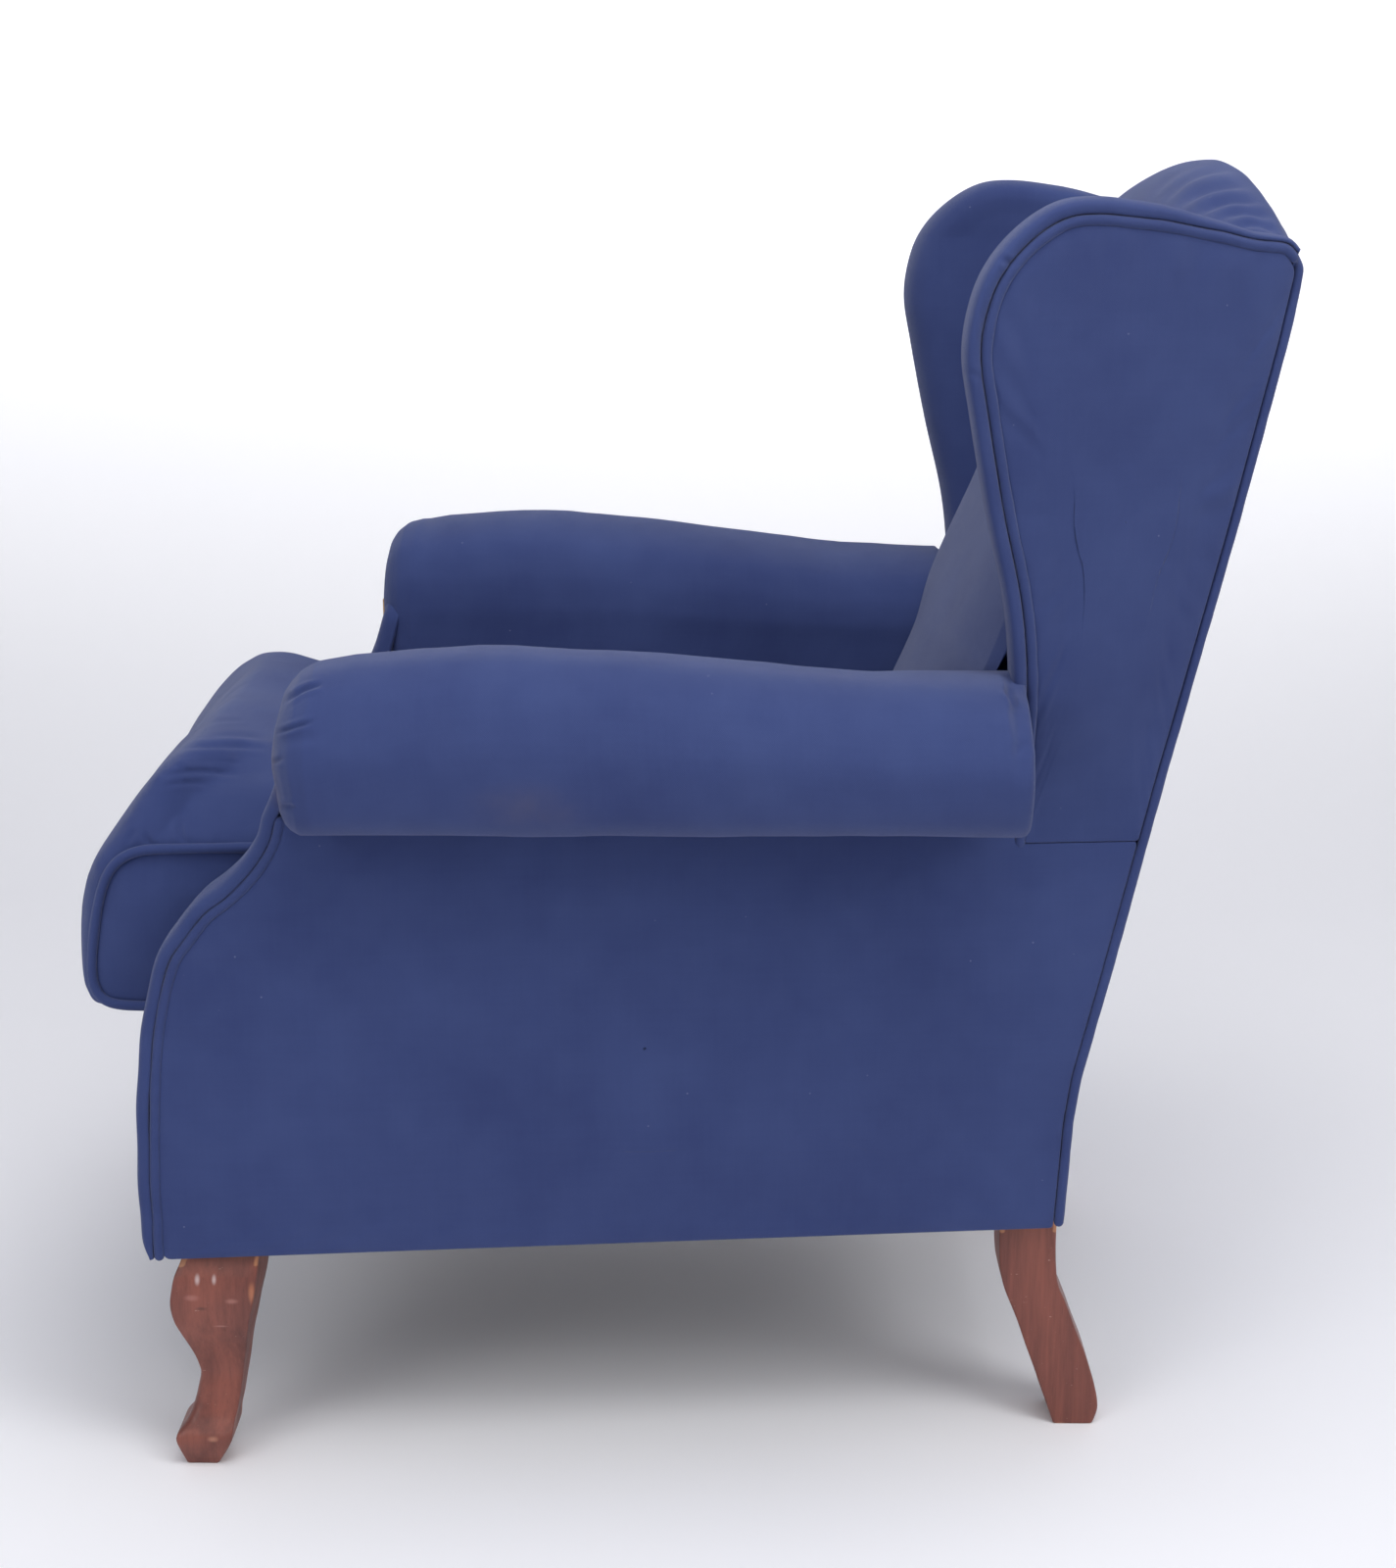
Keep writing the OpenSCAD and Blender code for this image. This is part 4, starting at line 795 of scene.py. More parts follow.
def welt(name, path, seed, endless=False):
    """A covered cord along a path in millimetres, its ends rounded over."""
    count = max(8, int(lengths(path, endless)[-1] / 4))
    path = evenly(path, count, endless)
    along = tangents(path, endless)
    hold = np.array([1.0, 0.0, 0.0]) if abs(along[:, 0]).max() < 0.9 else np.array([0.0, 0.0, 1.0])
    a = np.cross(along, hold)
    a /= np.linalg.norm(a, axis=1, keepdims=True)
    b = np.cross(along, a)
    turn = np.linspace(0, 2 * np.pi, WELT_SIDES, endpoint=False)
    size = WELT_R * (1 + 0.035 * waves(path, 26, seed))
    rings = (path[:, None] + size[:, None, None] * (np.cos(turn)[None, :, None] * a[:, None]
                                                   + np.sin(turn)[None, :, None] * b[:, None]))
    if not endless:
        ends = []
        for k, way in ((0, -1), (-1, 1)):
            more = []
            for t in np.radians([25, 50, 72]):
                centre = path[k] + way * along[k] * WELT_R * math.sin(t)
                more.append(centre + (rings[k] - path[k]) * math.cos(t))
            ends.append(more)
        rings = np.concatenate([ends[0][::-1], rings, ends[1]])
    return skin(name, rings, endless)


arm_welt_path = on_side(front_inner(ARM_BAND + WELT_R), SKIN_T - WELT_R - FIT)
arm_welt_path = arm_welt_path[(arm_welt_path[:, 2] > BODY_LOW + 3)]
arm_welt = welt("arm_welt_cord_left", let_down(arm_welt_path), 21)
wing_welt_yz = moved_in(wing_line, narrowed(wing_line, WING_BAND + WELT_R))
wing_welt = welt("wing_welt_cord_left", on_wing(wing_welt_yz, SKIN_T - WELT_R - FIT), 22)
both_sides(arm_welt, "arm_welt_")
both_sides(wing_welt, "wing_welt_")

# %% [markdown]
# ## The arm fronts
# A soft nose of cloth over wadding covers the front of each arm post. Its show side is a narrow
# band beside the welt, and it rolls round the front to the inside. One section, drawn across the
# nose, is carried along the S shaped template.


# %% Arm fronts
# Across the arm's nose: how far each point lies in from the side, and back from the front line.
NOSE_BACK = 17.7
NOSE_ROUND = [[0.9, 10.9], [0.1, 9.3], [0.4, 4.6], [3.2, 1.8], [8.5, 0.4], [15, 0.0], [29, -0.4], [43, 0.0],
              [50, 0.9], [55.5, 4.2], [57.6, 9.5], [58, NOSE_BACK]]
nose = np.vstack([[[SKIN_T, NOSE_BACK], [SKIN_T, 14.0], [6.0, 11.3], [2.8, 11.3]],
                  evenly(spline(NOSE_ROUND, 104), 26)])


def arm_front_rings():
    """The nose's section carried up the template, drawn to a small tip under the roll."""
    line = evenly(front_line, 120)
    lines = [front_inner(back, line) for _, back in nose]
    rest = len(line) - 1 - np.arange(len(line))
    tip = np.maximum(0, 1 - rest / 7)
    size = 1 - 0.4 * tip ** 2.5
    rings = np.stack([np.stack([side_in(y, mix(ARM_IN / 2, depth, size)), y + 4 * tip ** 2, z], 1)
                      for (depth, _), (y, z) in zip(nose, (moved.T for moved in lines))], 1)
    rings[:, :, 2] = np.maximum(rings[:, :, 2], BODY_LOW)
    flat_rings = rings.reshape(-1, 3)
    flat_rings[:, 1] += waves(flat_rings, 60, 31) * 0.5
    return let_down(flat_rings.reshape(rings.shape))


both_sides(skin("arm_front_cloth_left", arm_front_rings(), weave="box"), "arm_front_")

# %% [markdown]
# ## The arm rolls
# Each arm is a stuffed scroll that overhangs the outside panel. Its cloth is pulled over the
# stuffing, gathered into small tucks round the front end and tacked below. A section is carried
# from front to rear and shrinks quickly over the rounded front. The tucks are pressed in along
# lines taken from where they lie in the picture, on both arms alike.


# %% Creases
def pressed(points, lines, normals):
    """Points pushed in along creases: picture points, width in pixels, depth in mm. Both banks rise."""
    seen = photo_place(points)
    moved = points.copy()
    for line, width, depth in lines:
        fine = evenly(spline(line, 24), 40)
        near = np.full(len(points), 1e9)
        at = np.zeros(len(points))
        for k, p in enumerate(fine):
            far = np.hypot(*(seen - p).T)
            at = np.where(far < near, k / 39, at)
            near = np.minimum(near, far)
        taper = np.minimum(1, 4 * (1 - at)) * np.minimum(1, 3 * at)
        raised = 0.45 * np.exp(-((near - 2.2 * width) / (1.2 * width)) ** 2)
        push = depth * taper * (np.exp(-(near / width) ** 2) - raised)
        facing = np.clip(normals @ -np.array(look) * 4, 0, 1)
        moved -= normals * (push * facing)[:, None]
    return moved


def ring_normals(rings):
    """Outward directions over a row of rings."""
    round_it = np.roll(rings, -1, 1) - np.roll(rings, 1, 1)
    down_it = np.gradient(rings, axis=0)
    n = np.cross(down_it, round_it)
    n /= np.maximum(np.linalg.norm(n, axis=2, keepdims=True), 1e-9)
    out = rings - rings.mean(1, keepdims=True)
    return n * np.sign((n * out).sum())


# %% Arm rolls
ROLL_FRONT, ROLL_REAR, ROLL_HIGH, ROLL_FALL, ROLL_OUT = -299.7, 266.0, 133.0, 23.0, 390.0
ROLL_SECTION = [[-1, 0], [-1, .25], [-1, .45], [-.93, .66], [-.75, .85], [-.4, .97], [0, 1], [.4, .96],
                [.76, .8], [.97, .56], [.98, .35], [.84, .12], [.55, 0], [.2, 0]]
ROLL_TOP = np.array([[0, .5], [.05, .25], [.1, .08], [.17, 0], [.33, 0], [.55, .38], [.8, .92], [1, 1]])
roll_section = np.vstack([evenly(spline(ROLL_SECTION, 300), 237), [[-0.1, 0], [-0.4, 0], [-0.7, 0]]])
# How far the roll's top, underside and sides draw in, at distances behind its front.
TOP_INSET = np.array([[0, 70], [1.5, 60], [4, 47], [9, 34], [15, 26], [24, 18], [38, 12], [67, 7],
                      [115, 2.5], [160, 0]])
LOW_INSET = np.array([[0, 20], [3, 12], [7, 6.5], [12, 3], [20, 0]])
SIDE_INSET = np.array([[0, 34], [3, 22], [7, 13], [12, 7], [20, 2.5], [34, 0]])
REAR_NOTCH, NOTCH_FROM, RIDGE_FRONT, RIDGE_REAR = 9.5, 246.0, 334.0, 320.0


def roll_ring(y, scale=1.0):
    """The roll's section at a place. Its front is flat, with a wide round above and a tight one below."""
    s = (y - ROLL_FRONT) / (ROLL_REAR - ROLL_FRONT)
    far = max(0.0, y - ROLL_FRONT)
    ridge = mix(RIDGE_FRONT, RIDGE_REAR, s)
    inner = side_in(y, ARM_IN)
    high = ROLL_HIGH - ROLL_FALL * np.interp(s, *ROLL_TOP.T)
    above = max(0.0, np.interp(far, *TOP_INSET.T) - (ROLL_HIGH - high) * (s < 0.2))
    below, aside = np.interp(far, *LOW_INSET.T), np.interp(far, *SIDE_INSET.T)
    q, t = roll_section.T
    x = ridge + q * np.where(q < 0, ridge - inner, ROLL_OUT - ridge)
    middle = (inner + ROLL_OUT) / 2
    x = middle + (x - middle) * (1 - aside / (ROLL_OUT - middle))
    notch = REAR_NOTCH * ease((y - NOTCH_FROM) / 9) * ease((x - 290) / 40)
    z = ROLL_LOW + below + (high - below - above - notch) * t
    back = (8.5 + 3.5 * ease((600 - z) / 30)) * ease((60 - far) / 60)
    x, z = mix(middle, x, scale), mix(ROLL_LOW + 55, z, scale)
    back *= mix(0.45, 1, ease((x - 300) / 50))
    return np.stack([x, y + 2.5 * (1 - min(1, far)) * scale**2 + back, z], 1)


def roll_rings():
    """The roll's stations: close together where its front and rear are rounded."""
    rings = [roll_ring(ROLL_FRONT, scale) for scale in (0.04, 0.2, 0.4, 0.6, 0.8, 0.92)]
    rings += [roll_ring(ROLL_FRONT + far) for far in (0.3, 1, 2, 3, 4.2, 5.6, 7, *np.arange(8.5, 37, 1.5))]
    rings += [roll_ring(y) for y in np.arange(ROLL_FRONT + 38, ROLL_FRONT + 80, 1.5)]
    rings += [roll_ring(y) for y in np.arange(ROLL_FRONT + 82, ROLL_REAR - 24, 3.2)]
    rings += [roll_ring(y) for y in np.arange(ROLL_REAR - 22, ROLL_REAR - 7, 1.5)]
    for far, scale in ((5, 0.998), (2.4, 0.985), (0.8, 0.955), (0.1, 0.9), (0, 0.7), (0, 0.45), (0, 0.2),
                       (0, 0.04)):
        rings.append(roll_ring(ROLL_REAR - far, scale))
    return np.array(rings)


ROLL_TUCKS = [
    ([[287, 718], [298, 711], [310, 704], [330, 698]], 2.2, 2.4),
    ([[279, 748], [290, 746], [305, 741], [321, 736]], 2.0, 2.2),
    ([[277, 778], [282, 777], [290, 774]], 2.2, 1.2),
    ([[284, 823], [291, 822], [302, 824]], 2.2, 1.6),
    ([[280, 760], [300, 756], [330, 752]], 5.0, 0.7),
    ([[1024, 699], [1030, 706], [1035, 714], [1037, 724]], 2.2, 2.5),
    ([[1030, 770], [1042, 764], [1052, 754]], 5.0, 1.0),
]
rings = roll_rings()
normals = ring_normals(rings).reshape(-1, 3)
points = rings.reshape(-1, 3)
points = pressed(points, ROLL_TUCKS, normals)
points += normals * (waves(points, 150, 41) * 0.7 + waves(points, 50, 42) * 0.15)[:, None]
low_edge = np.exp(-((points[:, 2] - ROLL_LOW) / 14) ** 2) * (points[:, 0] > 352)
points[:, 2] += low_edge * waves(points * [0, 1, 0], 200, 43) * 0.5
arm_roll = skin("arm_roll_cloth_left", points.reshape(rings.shape))
arm_roll_right = mirrored(arm_roll, "arm_roll_cloth_right")
points = vertices_of(arm_roll_right.data) / MM
fuller = 8 - 12 * ease((points[:, 1] + 260) / 500) + 9 * ease((-250 - points[:, 1]) / 40)
points[:, 2] += ease((points[:, 2] - 570) / 80) * fuller
reshaped(arm_roll_right, points)
for piece, side in ((arm_roll, "left"), (arm_roll_right, "right")):
    dressed(piece, blue_cloth, "chair", ["arm_roll_" + side])


# %% Inside arms
ARM_PAD_BACK, ARM_PAD_ROUND = 18.0, 6.0


def inside_arm_rings():
    """The pad on the inside of the arm, from the deck up to the roll, its edges rounded."""
    low, high = DECK_TOP + FIT, ROLL_LOW - FIT
    front = moved_in(arm_line, ARM_PAD_BACK)
    front = front[(front[:, 1] > low) & (front[:, 1] < high)]
    rear_z = np.linspace(high, low, 40)
    rear = np.stack([back_y(rear_z) - PAD_FACE, rear_z], 1)
    outline = evenly(np.vstack([[[front[0, 0], low]], front, [[front[-1, 0], high]], rear]), 240, True)
    centre = outline.mean(0)
    rings = [on_side(mix(centre, outline, s), TIMBER_IN + FIT) for s in (0.04, 0.6, 1.0)]
    for turn in np.radians([0, 30, 60, 90]):
        line = inset(outline, ARM_PAD_ROUND * (1 - math.cos(turn)))
        rings.append(on_side(line, ARM_IN - ARM_PAD_ROUND * (1 - math.sin(turn))))
    shown = inset(outline, ARM_PAD_ROUND)
    rings += [on_side(mix(centre, shown, s), ARM_IN) for s in (0.9, 0.7, 0.5, 0.3, 0.1)]
    return np.array(rings)


both_sides(skin("inside_arm_cloth_left", inside_arm_rings(), weave="box"), "inside_arm_")

# %% [markdown]
# ## The wings
# The inside wing's cloth covers a thick pad, rolls round the leading edge and comes back as a
# narrow band beside the welt. So it is one skin: rings start on the hidden face, pass the band,
# turn round the nose and close over the inside. The nose's section is a spline, and the pad keeps
# clear of the timber bars behind it.


# %% Wing pads
ROLL_TOP_REAR = ROLL_LOW + ROLL_HIGH - ROLL_FALL
PAD_LOW = ROLL_TOP_REAR - 20
PLATE_LOW = TIMBER_IN + SOFT
PAD_CENTRE = np.array([WING_FRONT + WING_LONG * 0.43, POST_TOP + 2 * SOFT])
PAD_CLEAR, PAD_REAR_SHARES = 5.6, [0.72, 0.45, 0.2, 0.0]


def post_face(z):
    """The back posts' front face."""
    return back_y(z) - BACK_SEAT - POST_D


pad_first = int(np.argmax(wing_line[:, 1] > PAD_LOW + 3))
pad_corner = mix(POST_TOP, CORNER_H, 0.6)
pad_rear = np.vstack([
    [[back_y(pad_corner) - BACK_SEAT, pad_corner], [back_y(POST_TOP) - BACK_SEAT, POST_TOP + SOFT],
     [post_face(POST_TOP) - PAD_CLEAR, POST_TOP + SOFT]],
    [[post_face(z) - PAD_CLEAR, z] for z in (mix(PAD_LOW, POST_TOP, s) for s in PAD_REAR_SHARES)],
    [[moved_in(wing_line, WING_SEAT + FIT)[pad_first, 0], PAD_LOW]]])
pad_rear = evenly(pad_rear, 70)
pad_rim = len(wing_line) - pad_first + 1


def pad_ring(s, depth, share):
    """A ring of the wing pad: s in from the wing's edge, that deep, and drawn to its middle by a share."""
    edge = moved_in(wing_line, narrowed(wing_line, s))
    line = np.vstack([[[edge[pad_first, 0], PAD_LOW]], edge[pad_first + 1:], [edge[-1]], pad_rear])
    q = mix(PAD_CENTRE, line, share)
    deep = np.full(len(line), float(depth))
    deep[pad_rim:] = np.maximum(deep[pad_rim:], PLATE_LOW)
    return on_wing(q, deep)


# Round the wing's nose: how far each point lies in from the wing's edge, and from its outside.
WING_NOSE = [[WING_BAND, 4.0], [WING_BAND - 0.8, 1.4], [WING_BAND * 0.72, 0.1], [WING_BAND * 0.42, 0.3],
             [WING_BAND * 0.18, 3.0], [0.4, 9], [0, 18], [0, 27], [0.2, 36], [2.2, 45.5], [6.6, 52.6],
             [14, 56.6], [22, 57.8], [30, WING_T]]


def wing_pad_rings():
    """Rings from the pad's hidden face, round its nose and over the inside."""
    rows = [(WING_SEAT, PLATE_LOW, 0.05), (WING_SEAT, PLATE_LOW, 0.4), (WING_SEAT, PLATE_LOW, 1.0),
            (WING_SEAT, SKIN_T + SOFT, 1.0), (WING_BAND, SKIN_T + SOFT, 1.0)]
    rows += [(s, d, 1.0) for s, d in spline(WING_NOSE, 40)]
    rows += [(30, WING_T + 2.5 * (1 - share**2), share)
             for share in (0.95, 0.88, 0.8, 0.7, 0.6, 0.5, 0.4, 0.3, 0.2, 0.1, 0.04)]
    return np.array([pad_ring(*row) for row in rows])


WING_TUCKS = [
    ([[1019, 262], [1026, 266], [1036, 270]], 2.6, 1.6),
    ([[986, 378], [993, 382], [1003, 386]], 2.6, 1.4),
    ([[1008, 300], [1004, 330], [1000, 360]], 3.5, 0.8),
]
rings = wing_pad_rings()
normals = ring_normals(rings)
points = pressed(rings.reshape(-1, 3), WING_TUCKS, normals.reshape(-1, 3))
soft = (waves(points, 110, 51) * 0.7).reshape(rings.shape[:2])
soft[:5] = 0
points[:, 0] += soft.ravel()
both_sides(skin("wing_pad_cloth_left", points.reshape(rings.shape), weave="box"), "wing_pad_")

# %% [markdown]
# ## The inside back
# One piece of cloth covers the back's pad, from the deck up between the arms and wings and over
# the arched crest to the rear. Stations across the chair each carry a closed section. The crest
# is stuffed by hand, so long soft folds run along its arch where the cloth is drawn to the rear.


# %% Inside back
BACK_CROWN, CREST_RISE = 20.0, 74.0
CREST_MARKS = [[.1, .47], [.27, .3], [.5, .145], [.75, .04], [.96, 0]]
RAIL_FACE = BACK_SEAT + 25 + SOFT
CREST_RAIL_LOW, LIP_DROP, CREST_RINGS_HALF = 846.0, 16.2, 243.0


def inside_half(y, z):
    """Half the room between the arms, or above them between the wings."""
    return mix(side_in(y, ARM_IN) - SOFT, wing_x(y, z) - WING_T - 2 * SOFT, ease((z - 600) / 50))


CREST_HALF = float(inside_half(back_y(CORNER_H), CORNER_H))


def back_section(u):
    """The back's closed section at a share of its half width: front face, crest, rear face."""
    top = float(arch_z(u * CREST_HALF))
    bulge = BACK_CROWN * (1 - abs(u) ** 2.6) - 5 * max(0.0, abs(u) - 0.94) / 0.06
    roll_y = float(inside_y(top - CREST_RISE * 0.45)) - bulge * 0.7
    lip = top - LIP_DROP
    low = np.concatenate([np.linspace(DECK_TOP + FIT, 590, 34), np.linspace(596, 654, 12),
                          np.linspace(662, top - CREST_RISE * 0.72, 36)])
    front = np.stack([inside_y(low) - bulge, low], 1)
    crest = np.array([[roll_y + CREST_RISE * c[0], top - CREST_RISE * c[1]] for c in CREST_MARKS]
                     + [[back_y(top) - 7.5, top - 2.5], [back_y(top) - 2.5, top - 7.5]])
    over = evenly(spline(np.vstack([front[-2:], crest]), 80), 46)[4:]
    rear_z = np.linspace(lip - 2, DECK_TOP + FIT, 24)
    rear = np.stack([back_y(rear_z) - np.where(rear_z > CREST_RAIL_LOW, RAIL_FACE, PAD_FACE), rear_z], 1)
    tuck = [[back_y(lip) - 1.2, lip + 3], [back_y(lip) - 0.8, lip + 0.2], [back_y(lip) - 4, lip - 0.8],
            [back_y(lip) - RAIL_FACE + 4, lip - 0.8]]
    return np.vstack([front, over, tuck, rear]), len(front), len(over)


def inside_back_rings():
    """The back's sections across the chair, and where its front face and crest end in them."""
    rings = []
    turn = np.radians(np.linspace(-90, 90, 141))
    for u in np.sin(turn):
        section, front, over = back_section(u)
        y, z = section.T
        half = inside_half(y, np.minimum(z, CORNER_H))
        part = np.arange(len(section))
        on_top = ease((part - front - 8) / (over * 0.5)) * (part < front + over + 4)
        half = mix(half, CREST_RINGS_HALF, on_top)
        x = u * half
        fall = arch_z(x) - arch_z(u * CREST_HALF)
        rings.append(np.stack([x, y, z + fall * on_top], 1))
    return np.array(rings), front, over


rings, front_count, over_count = inside_back_rings()
# Folds and creases: points in the photograph's pixels, width in pixels, depth in millimetres.
CREST_FOLDS = [
    ([[1172, 206], [1182, 194], [1198, 180], [1222, 168], [1244, 166]], 4.2, 1.6),
    ([[1184, 210], [1196, 197], [1214, 183], [1240, 174], [1262, 176]], 4.0, 2.2),
    ([[1198, 216], [1212, 204], [1230, 195], [1256, 190], [1276, 193]], 4.2, 3.2),
    ([[1218, 222], [1232, 213], [1252, 206], [1272, 206], [1288, 211]], 4.0, 3.4),
    ([[1240, 227], [1254, 219], [1272, 217], [1290, 221], [1300, 227]], 3.6, 3.0),
    ([[1262, 234], [1276, 229], [1292, 231], [1306, 238]], 3.2, 2.4),
]
normals = ring_normals(rings)
points = pressed(rings.reshape(-1, 3), CREST_FOLDS, normals.reshape(-1, 3))
rings = points.reshape(rings.shape)
rings[:, :front_count, 1] += waves(rings.reshape(-1, 3), 160, 62).reshape(rings.shape[:2])[:, :front_count]
inside_back = skin("inside_back_cloth", rings)
dressed(smoothed(inside_back), blue_cloth, "chair", ["inside_back"])

# %% [markdown]
# ## The outside back and its welt
# The outside back is a flat panel closed last, by hand, with slip stitches against the welt that
# runs up one side, over the crest and down the other. It uses the same panel rings as the sides,
# laid on the back's lean.


# %% Outside back
WELT_DROP = 17.25


def on_back(xz, depth):
    """Points of (x, z) placed that far inside the back's lean."""
    return np.stack([xz[:, 0], back_y(xz[:, 1]) - depth, xz[:, 1]], 1)


def outside_back_outline():
    """The outside back's cut, inside the welt."""
    edge = np.linspace(BODY_LOW, CORNER_H - 40, 60)
    half = side_x(back_y(edge)) - WELT_D - FIT
    top_half = float(side_x(back_y(CORNER_H)) - WELT_D - FIT)
    arch = np.linspace(top_half, -top_half, 80)
    crown = np.stack([arch, arch_z(arch) - WELT_DROP - WELT_D - 0.6], 1)
    line = np.vstack([np.stack([half, edge], 1), crown, np.stack([-half[::-1], edge[::-1]], 1)])
    return evenly(line, 420, True)


BACK_CENTRE, BACK_HALF = np.array([0.0, 540.0]), 262.0
back_rings = panel_rings(outside_back_outline(), BACK_CENTRE, on_back, WELT_D + FIT, 0.0, 0.5, 71)
back_rings[:, :, 0] = np.clip(back_rings[:, :, 0], -BACK_HALF, BACK_HALF)
outside_back = skin("outside_back_cloth", back_rings, weave="box")
dressed(smoothed(outside_back), blue_cloth, "chair", ["outside_back"])
side_z = BODY_LOW + BACK_H * np.linspace(0.006, 0.955, 60)
side_path = np.stack([side_x(back_y(side_z)) - WELT_R, back_y(side_z) - WELT_R, side_z], 1)
arch_x = np.linspace(ARCH_HALF - WELT_R - 4, -(ARCH_HALF - WELT_R - 4), 90)
arch_top = arch_z(arch_x) - WELT_DROP - WELT_R
arch_path = np.stack([arch_x, back_y(arch_top) - WELT_R, arch_top], 1)
back_welt_path = np.vstack([side_path, arch_path, side_path[::-1] * [-1, 1, 1]])
back_welt = welt("back_welt_cord", evenly(back_welt_path, 500), 72)
dressed(smoothed(back_welt), blue_cloth, "chair", ["back_welt"])

# %% [markdown]
# ## The loose seat cushion
# The cushion's cover is one long piece that runs under, over the front and across the crowned top,
# with a side panel let in at each side and a welt round each panel. It is blown up a little with
# Blender's cloth, held at its seams, as stuffing does to a sewn cover. The cloth starts smaller than
# the finished cushion and no point may move far, so the cushion keeps its size. The welts are laid
# on the cover afterwards, along the seams.


# %% Cushion shape
CUSHION_LOW, CUSHION_FRONT, CUSHION_REAR = DECK_TOP + FIT, -452.0, 138.0
CUSHION_MID, CUSHION_LONG = (CUSHION_REAR + CUSHION_FRONT) / 2, (CUSHION_REAR - CUSHION_FRONT) / 2
BOXING_H, CROWN, DROOP, LOW_DROOP, PUFF, FRONT_PART = 137.0, 59.0, 24.0, 5.0, 25.0, 398.0
COVER_IN = WELT_R + SOFT
UPPER_WELT, LOWER_WELT = CUSHION_LOW + BOXING_H, CUSHION_LOW + WELT_D


def cushion_half(y):
    """Half the cushion's width, a little less than the room between the arms."""
    return side_in(y, ARM_IN) - 1.0 - WELT_R


def sharp(v, corner=0.06):
    """A sine or cosine made squarer, so a circle's corners fill out towards a square's."""
    return np.sign(v) * np.abs(v) ** corner


def cushion_line(inset_by, count=300):
    """The cushion's outline in plan, a rounded oblong that narrows to the rear as the arms do."""
    a = np.linspace(0, 2 * np.pi, 4000, endpoint=False) + 1e-4
    y = CUSHION_MID + (CUSHION_LONG - inset_by) * sharp(np.sin(a))
    x = (cushion_half(np.maximum(y, FRONT)) - inset_by) * sharp(np.cos(a))
    return evenly(np.stack([x, y], 1), count, True)


def front_share(y):
    """1 at the cushion's front, falling to 0 behind it."""
    return ease((-y + CUSHION_FRONT + 3 * PUFF) / (3 * PUFF))


def upper_z(y):
    return UPPER_WELT - DROOP * front_share(y)


def lower_z(y):
    return LOWER_WELT - LOW_DROOP * front_share(y)


FRONT_EDGE = np.array([[-424, 361.5], [-454, 363], [-468, 371], [-473, 384], [-472.5, 410], [-471, 434],
                       [-466, 466], [-456, 486], [-443, 504], [-430, 523], [-417, 543], [-405, 557],
                       [-386, 565], [-352, 564], [-320, 560], [-290, 557]])
OVER_START, OVER_END, FRONT_BULGE = 476.0, -330.0, 9.0


def over_front():
    """The cushion's front edge in profile above the height where its crown starts, evenly spaced."""
    line = evenly(spline(FRONT_EDGE, 300), 400)
    return evenly(line[(line[:, 1] >= OVER_START) & (line[:, 0] <= OVER_END)], 120)


def cushion_rings(inset_by, crown):
    """Rings round the cushion. Its cover runs over the front in one piece, which has its own profile."""
    x, y = cushion_line(inset_by).T
    front = ease((-y - FRONT_PART) / (-CUSHION_FRONT - inset_by - FRONT_PART))
    middle = 1 - (x / np.abs(x).max()) ** 2
    start = CUSHION_FRONT + inset_by
    edge = evenly(spline(FRONT_EDGE, 300), 400)
    over = over_front()
    rings = []
    for share in (0.05, 0.3, 0.6, 0.85, 0.94):
        z = CUSHION_LOW + (LOWER_WELT - CUSHION_LOW) * max(0, share - 0.9) * 4
        rings.append(np.stack([x * share, mix(CUSHION_MID, y, share), np.full(len(x), z)], 1))
    for s in np.linspace(0, 1, 18):
        z = mix(lower_z(y), upper_z(y), s)
        at_front = np.interp(z, edge[:, 1], edge[:, 0]) - start - FRONT_BULGE * middle * ease((z - 390) / 80)
        rings.append(np.stack([x, y + at_front * front, z], 1))
    reach = start - OVER_END
    for share in (0.995, 0.985, 0.97, 0.95, 0.925, 0.9, 0.86, 0.82, 0.76, 0.68, 0.6, 0.5, 0.4, 0.3, 0.2, 0.1,
                  0.04):
        far = (1 - share) * (CUSHION_MID - start)
        rise = 1 - math.exp(-far / PUFF)
        flat_y, flat_z = mix(CUSHION_MID, y, share), mix(upper_z(y), UPPER_WELT + crown, rise)
        along = min(1.0, (far / -reach)) ** 0.85
        at = along * (len(over) - 1)
        over_y, over_z = (float(np.interp(at, np.arange(len(over)), over[:, c])) for c in (0, 1))
        hold = front * (1 - ease((along - 0.75) / 0.25))
        rings.append(np.stack([x * mix(share, math.sqrt(share), hold),
                               mix(flat_y, over_y - FRONT_BULGE * middle * (1 - along) ** 0.6, hold),
                               mix(flat_z, over_z, hold)], 1))
    return np.array(rings)


SIDE_SEAM = [[-300, 500.3], [-360, 500.3], [-402, 500.6], [-416, 500], [-427, 497.5], [-436, 491.5],
             [-443, 481], [-448, 470], [-455, 448], [-461, 420], [-464, 395], [-463, 383], [-457, 374],
             [-445, 369.5], [-428, 368.5], [-300, 368.5]]
SIDE_SEAM_REAR = [[100, 371.7], [124, 372], [132, 380], [134, 400], [134, 470], [132, 492], [124, 500],
                  [100, 500.3]]


def side_seam():
    """The seam round the cushion's left side panel, a closed line."""
    yz = evenly(np.vstack([spline(SIDE_SEAM, 200), SIDE_SEAM_REAR]), 360, True)
    return np.stack([cushion_half(yz[:, 0]) - 1.0, yz[:, 0], yz[:, 1]], 1)


# %% Blow up a cover
def plain_copy(obj, name):
    """The object with its modifiers worked in, as a new plain one. The old one goes."""
    seen = obj.evaluated_get(bpy.context.evaluated_depsgraph_get())
    mesh = bpy.data.meshes.new_from_object(seen)
    mesh.name = name
    bpy.data.objects.remove(obj)
    return new_object(name, mesh)


